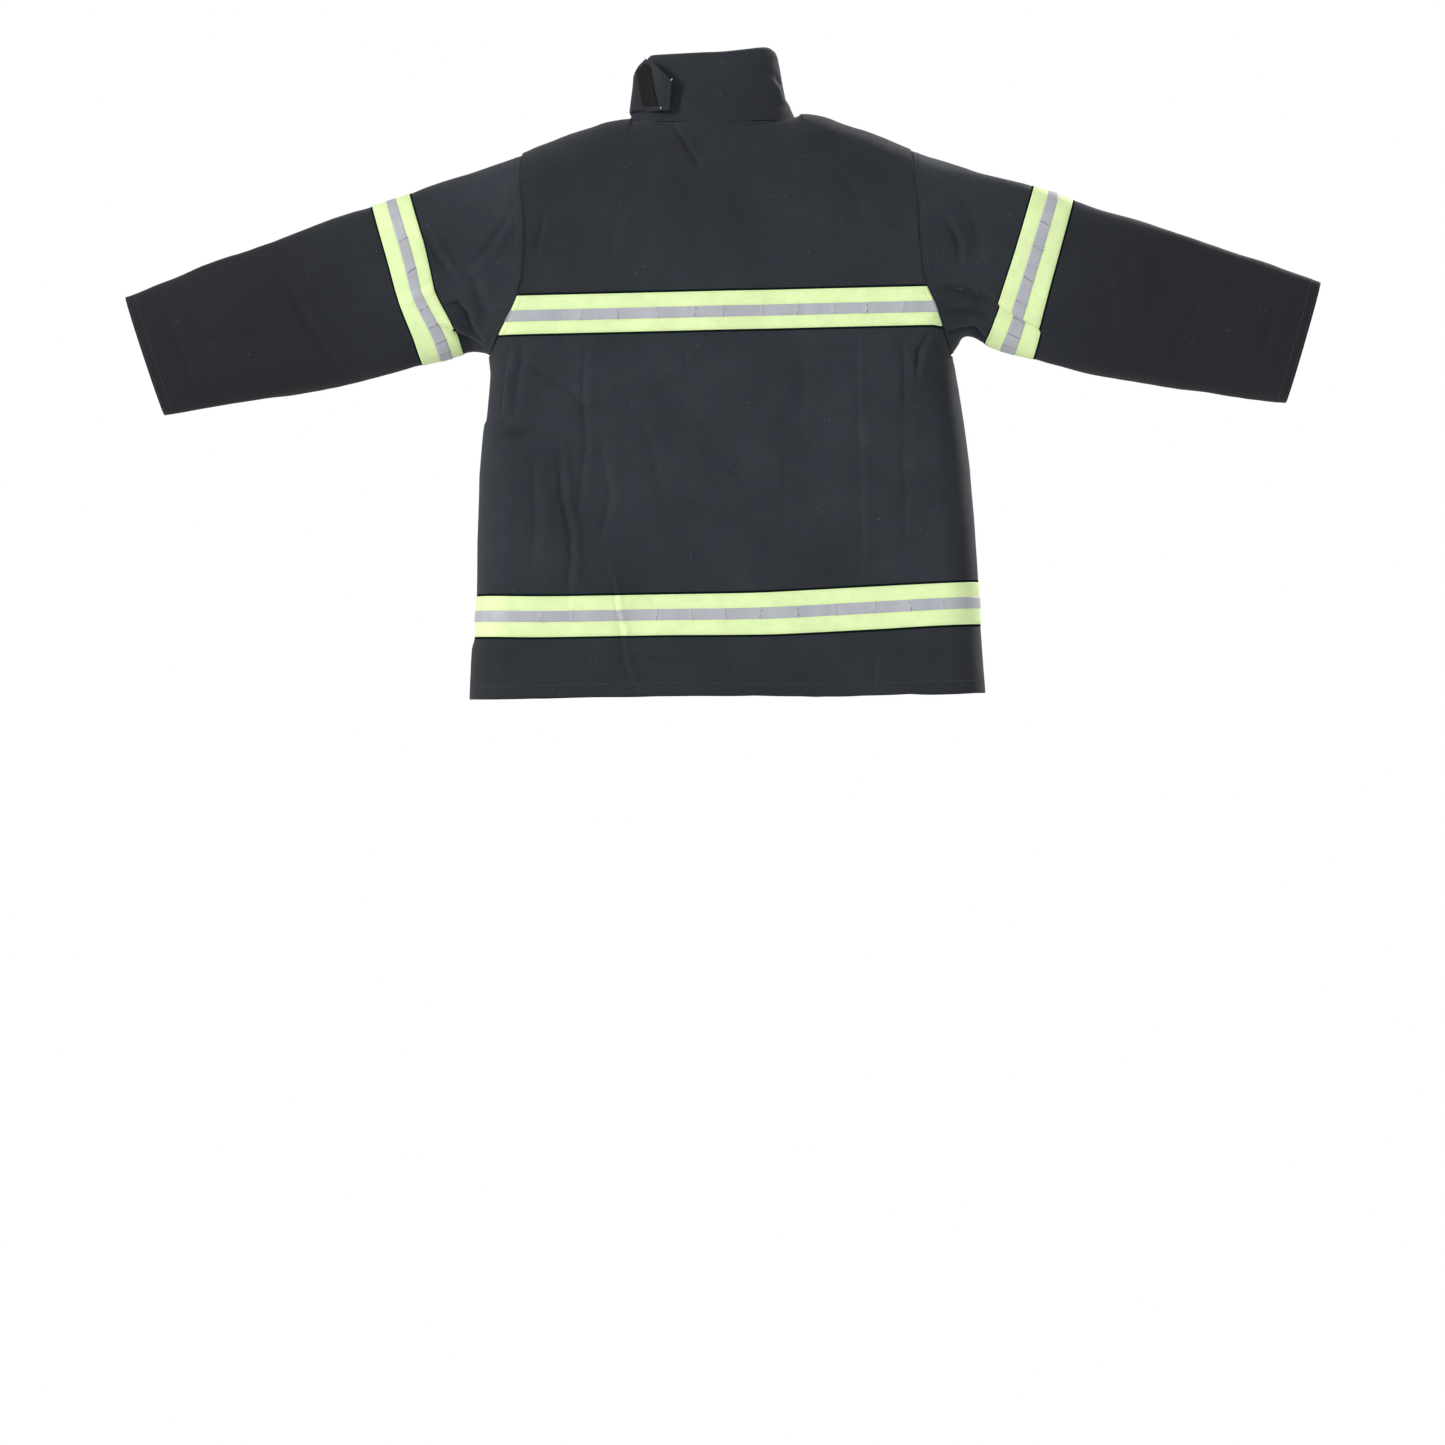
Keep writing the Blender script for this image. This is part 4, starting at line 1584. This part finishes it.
def pocket_grid(side):
    """The pocket's outside as one grid: across its face, and round its sides back to the coat."""
    sign = SIDES[side]
    u = np.linspace(-1, 1, 61)[None]
    v = np.linspace(0, 1, 61)[:, None]
    turn = 0.80  # beyond this share of the grid the sheet turns down to the coat
    out_u = np.clip((np.abs(u) - turn) / (1 - turn), 0, 1)
    out_v = np.clip((turn - 0.62 - v) / (turn - 0.62), 0, 1)
    half, corner = POCKET_WIDE / 2, 2.5
    round_u, round_v = (np.sin(out * math.pi / 2) ** 0.7 for out in (out_u, out_v))
    x = np.sign(u) * (np.minimum(np.abs(u) / turn, 1) * (half - corner) + corner * round_u)
    z_face = np.clip((v - 0.18) / 0.82, 0, 1) * (POCKET_HIGH - corner)
    z = POCKET_TOP - POCKET_HIGH + corner * (1 - round_v) + z_face
    share = (POCKET_TOP - z) / POCKET_HIGH
    height = POCKET_MOUTH + (POCKET_DEEP - POCKET_MOUTH) * share
    x = x - np.sign(u) * pleat(out_u) * (share > 0.08)
    z = z + pleat(out_v)
    fall = np.maximum(out_u, out_v)
    y = front_face(z) + 0.5 + height * (1 - fall ** 1.3)
    puff = 1.5 * np.sin(math.pi * np.clip((u + 1) / 2, 0, 1)) * np.sin(math.pi * np.clip(v, 0, 1))
    y = y + (puff + soft_noise(x * sign, z, 38, 95 if sign > 0 else 97) * 1.3) * (1 - fall) * soft_step(v * 4)
    return np.stack(np.broadcast_arrays(sign * (POCKET_X + half + x), y, z), -1)


def flap_grid(side, under=False):
    """The flap folds over at the pocket's top and follows its face down. Its lower corners are cut off."""
    sign = SIDES[side]
    half = POCKET_WIDE / 2 + 3
    u = np.linspace(-1, 1, 64)[None]
    v = np.linspace(0, 1, 34)[:, None]
    mouth = front_face(POCKET_TOP) + POCKET_MOUTH
    slope = (front_face(POCKET_TOP - POCKET_HIGH) + POCKET_DEEP - mouth) / POCKET_HIGH
    cut = 8.0 * np.clip((np.abs(u) - 0.78) / 0.22, 0, 1)
    z = POCKET_TOP + 4.6 - v * (POCKET_FLAP + 4.2) + cut * v
    y = mouth + 0.9 + slope * np.clip(POCKET_TOP - z, 0, None)
    rise = rounding(POCKET_TOP + 5 - z, 5.0)
    top = y + (-0.2 if under else 0.2 + 2.5 * rise)
    top = top + soft_noise(sign * u * half, z, 36, 99) * 0.5 * v
    return np.stack(np.broadcast_arrays(sign * (POCKET_X + POCKET_WIDE / 2 + half * u), top, z), -1)


for side in SIDES:
    bag = Cloth(pocket_grid(side), (0, 1, 0))
    piece = cloth_piece(side + "_pocket_bag", bag, 1.6)
    fixed(piece, side + "_front", "outer_cloth", "cloth", side + "_pocket")
    rows = np.concatenate([np.linspace(57, 13, 60), np.full(60, 13.0), np.linspace(13, 57, 60)])
    columns = np.concatenate([np.full(60, 8.4), np.linspace(8.4, 51.6, 60), np.full(60, 51.6)])
    runs = [stitch_path(bag, np.full(80, 57.0), np.linspace(9, 51, 80)), stitch_path(bag, rows, columns)]
    fixed(sew(side + "_pocket_stitching", runs), side + "_front", "outer_cloth", "thread")
    top, low = flap_grid(side), flap_grid(side, True)
    lid, under = Cloth(top, (0, 1, 0)), Cloth(low, (0, -1, 0))
    piece = two_faced(side + "_pocket_lid", top, low)
    fixed(piece, side + "_flap", "outer_cloth", "cloth", side + "_pocket_flap")
    runs = [stitch_path(lid, *border((6 + k, 31.5 - k), (2 + k, 61 - k))) for k in (0, 2.4)]
    fixed(sew(side + "_lid_stitching", runs), side + "_flap", "outer_cloth", "thread")
    rows, columns = np.meshgrid(np.linspace(20, 29, 16), np.linspace(17, 46, 40), indexing="ij")
    far, near = (under.lifted(rows, columns, lift) for lift in (0.9, -0.1))
    patch = two_faced(side + "_lid_hooks", far, near)
    fixed(patch, side + "_flap", "hook_and_loop", "hook")
print("two bellows pockets with lids")

# %% [markdown]
# ## The hanger loop
# The coat hangs from a short webbing loop inside the back of the collar. Both ends are tucked under and
# closed with a dense bar of stitches.

# %% Hanger loop
LOOP_HALF, LOOP_LOW, LOOP_HIGH, LOOP_OFF = 34.0, -4.0, 6.0, 8.0


def loop_grid(lift):
    """One face of the webbing, which bows away from the collar between its sewn ends."""
    share = np.linspace(-1, 1, 70)[None]
    w = np.linspace(LOOP_LOW, LOOP_HIGH, 10)[:, None]
    off = 0.9 + (LOOP_OFF - 1.3) * np.clip(1 - share ** 2, 0, 1) ** 0.8 + lift
    x = share * LOOP_HALF
    inner = NECK_SIZE[1] - 12 * w / COLLAR_TALL - LINING_IN - 1.7
    v = -inner * np.sqrt(1 - (x / 101.0) ** 2) + off
    return np.stack(np.broadcast_arrays(x, v * math.cos(TILT) + w * math.sin(TILT),
                                        w * math.cos(TILT) - v * math.sin(TILT) - COLLAR_DROP), -1)


loop = Cloth(loop_grid(1.4), (0, 1, 0))
piece = two_faced("hanger_loop_webbing", loop.points, loop_grid(0.0))
fixed(piece, "coat_body", "loop_strap", "webbing", "hanger_loop")
DENSE = {"thick": 0.5, "long": 1.6, "gap": 0.2}
bars = []
for column in (2.0, 3.0, 4.0, 65.0, 66.0, 67.0):
    bars.append(stitch_path(loop, np.linspace(0.8, 8.2, 20), np.full(20, column), **DENSE))
fixed(sew("hanger_loop_bars", bars), "coat_body", "loop_strap", "pale thread")
print("hanger loop", 2 * LOOP_HALF, "mm")

# %% Loop patch on the collar's right wing
patch_angle = np.linspace(118, 152, 40)
patch_height = np.linspace(24, 64, 22)[:, None]
patch_top = collar_place(patch_angle[None], patch_height, -1.3)
patch_low = collar_place(patch_angle[None], patch_height, -0.1)
patch = two_faced("collar_loop_tape", patch_top, patch_low)
bending(patch, "right_front", "hook_and_loop", "loop", "collar_loop_patch")
print("loop patch for the throat tab on the right wing")

# %% [markdown]
# ## The studio
# The coat hangs in even white light, as clothes are shown: a pale floor well below the hem, a bright room,
# and one soft lamp behind the coat's back, on the wearer's left, so that the folds show. A second lamp lights
# the front from the other side. The camera stands far back, level with the coat's lower half, and leans by
# about one degree.

# %% Floor, lights and camera
FLOOR_DOWN = -1.95
floor_mesh = bpy.data.meshes.new("floor")
floor_mesh.from_pydata([(-1.5, -1.5, FLOOR_DOWN), (1.5, -1.5, FLOOR_DOWN), (1.5, 1.5, FLOOR_DOWN),
                        (-1.5, 1.5, FLOOR_DOWN)], [], [(0, 1, 2, 3)])
floor = placed("floor", floor_mesh)
floor_paint = bpy.data.materials.new("pale floor")
floor_paint.use_nodes = True
floor_paint.node_tree.nodes["Principled BSDF"].inputs["Base Color"].default_value = (0.82, 0.82, 0.82, 1)
floor.data.materials.append(floor_paint)

world = bpy.data.worlds.new("bright room")
world.use_nodes = True
world.node_tree.nodes["Background"].inputs["Color"].default_value = (1, 1, 1, 1)
world.node_tree.nodes["Background"].inputs["Strength"].default_value = 1.0
bpy.context.scene.world = world


def soft_lamp(name, place, aim, size, power):
    lamp = bpy.data.lights.new(name, "AREA")
    lamp.shape, lamp.size, lamp.energy = "DISK", size, power
    thing = placed(name, lamp)
    thing.location = place
    thing.rotation_euler = (Vector(place) - Vector(aim)).to_track_quat("Z", "Y").to_euler()


MIDDLE = (0.0, 0.035, -0.33)
soft_lamp("key lamp", (-6.0, -4.85, 1.7), MIDDLE, 1.8, 450)
soft_lamp("front lamp", (3.0, 3.4, 2.2), MIDDLE, 1.4, 260)

camera = bpy.data.cameras.new("camera")
camera.lens, camera.sensor_width = 159.0, 36.0
camera.clip_end = 100
camera_thing = placed("camera", camera)
camera_thing.location = (-0.0063, -7.965, -0.7453)
camera_thing.rotation_euler = (math.radians(90), math.radians(1.1), 0)
bpy.context.scene.camera = camera_thing
bpy.context.scene.view_settings.view_transform = "Standard"
print("floor", FLOOR_DOWN, "m down, two lamps, and a camera of", camera.lens, "mm")
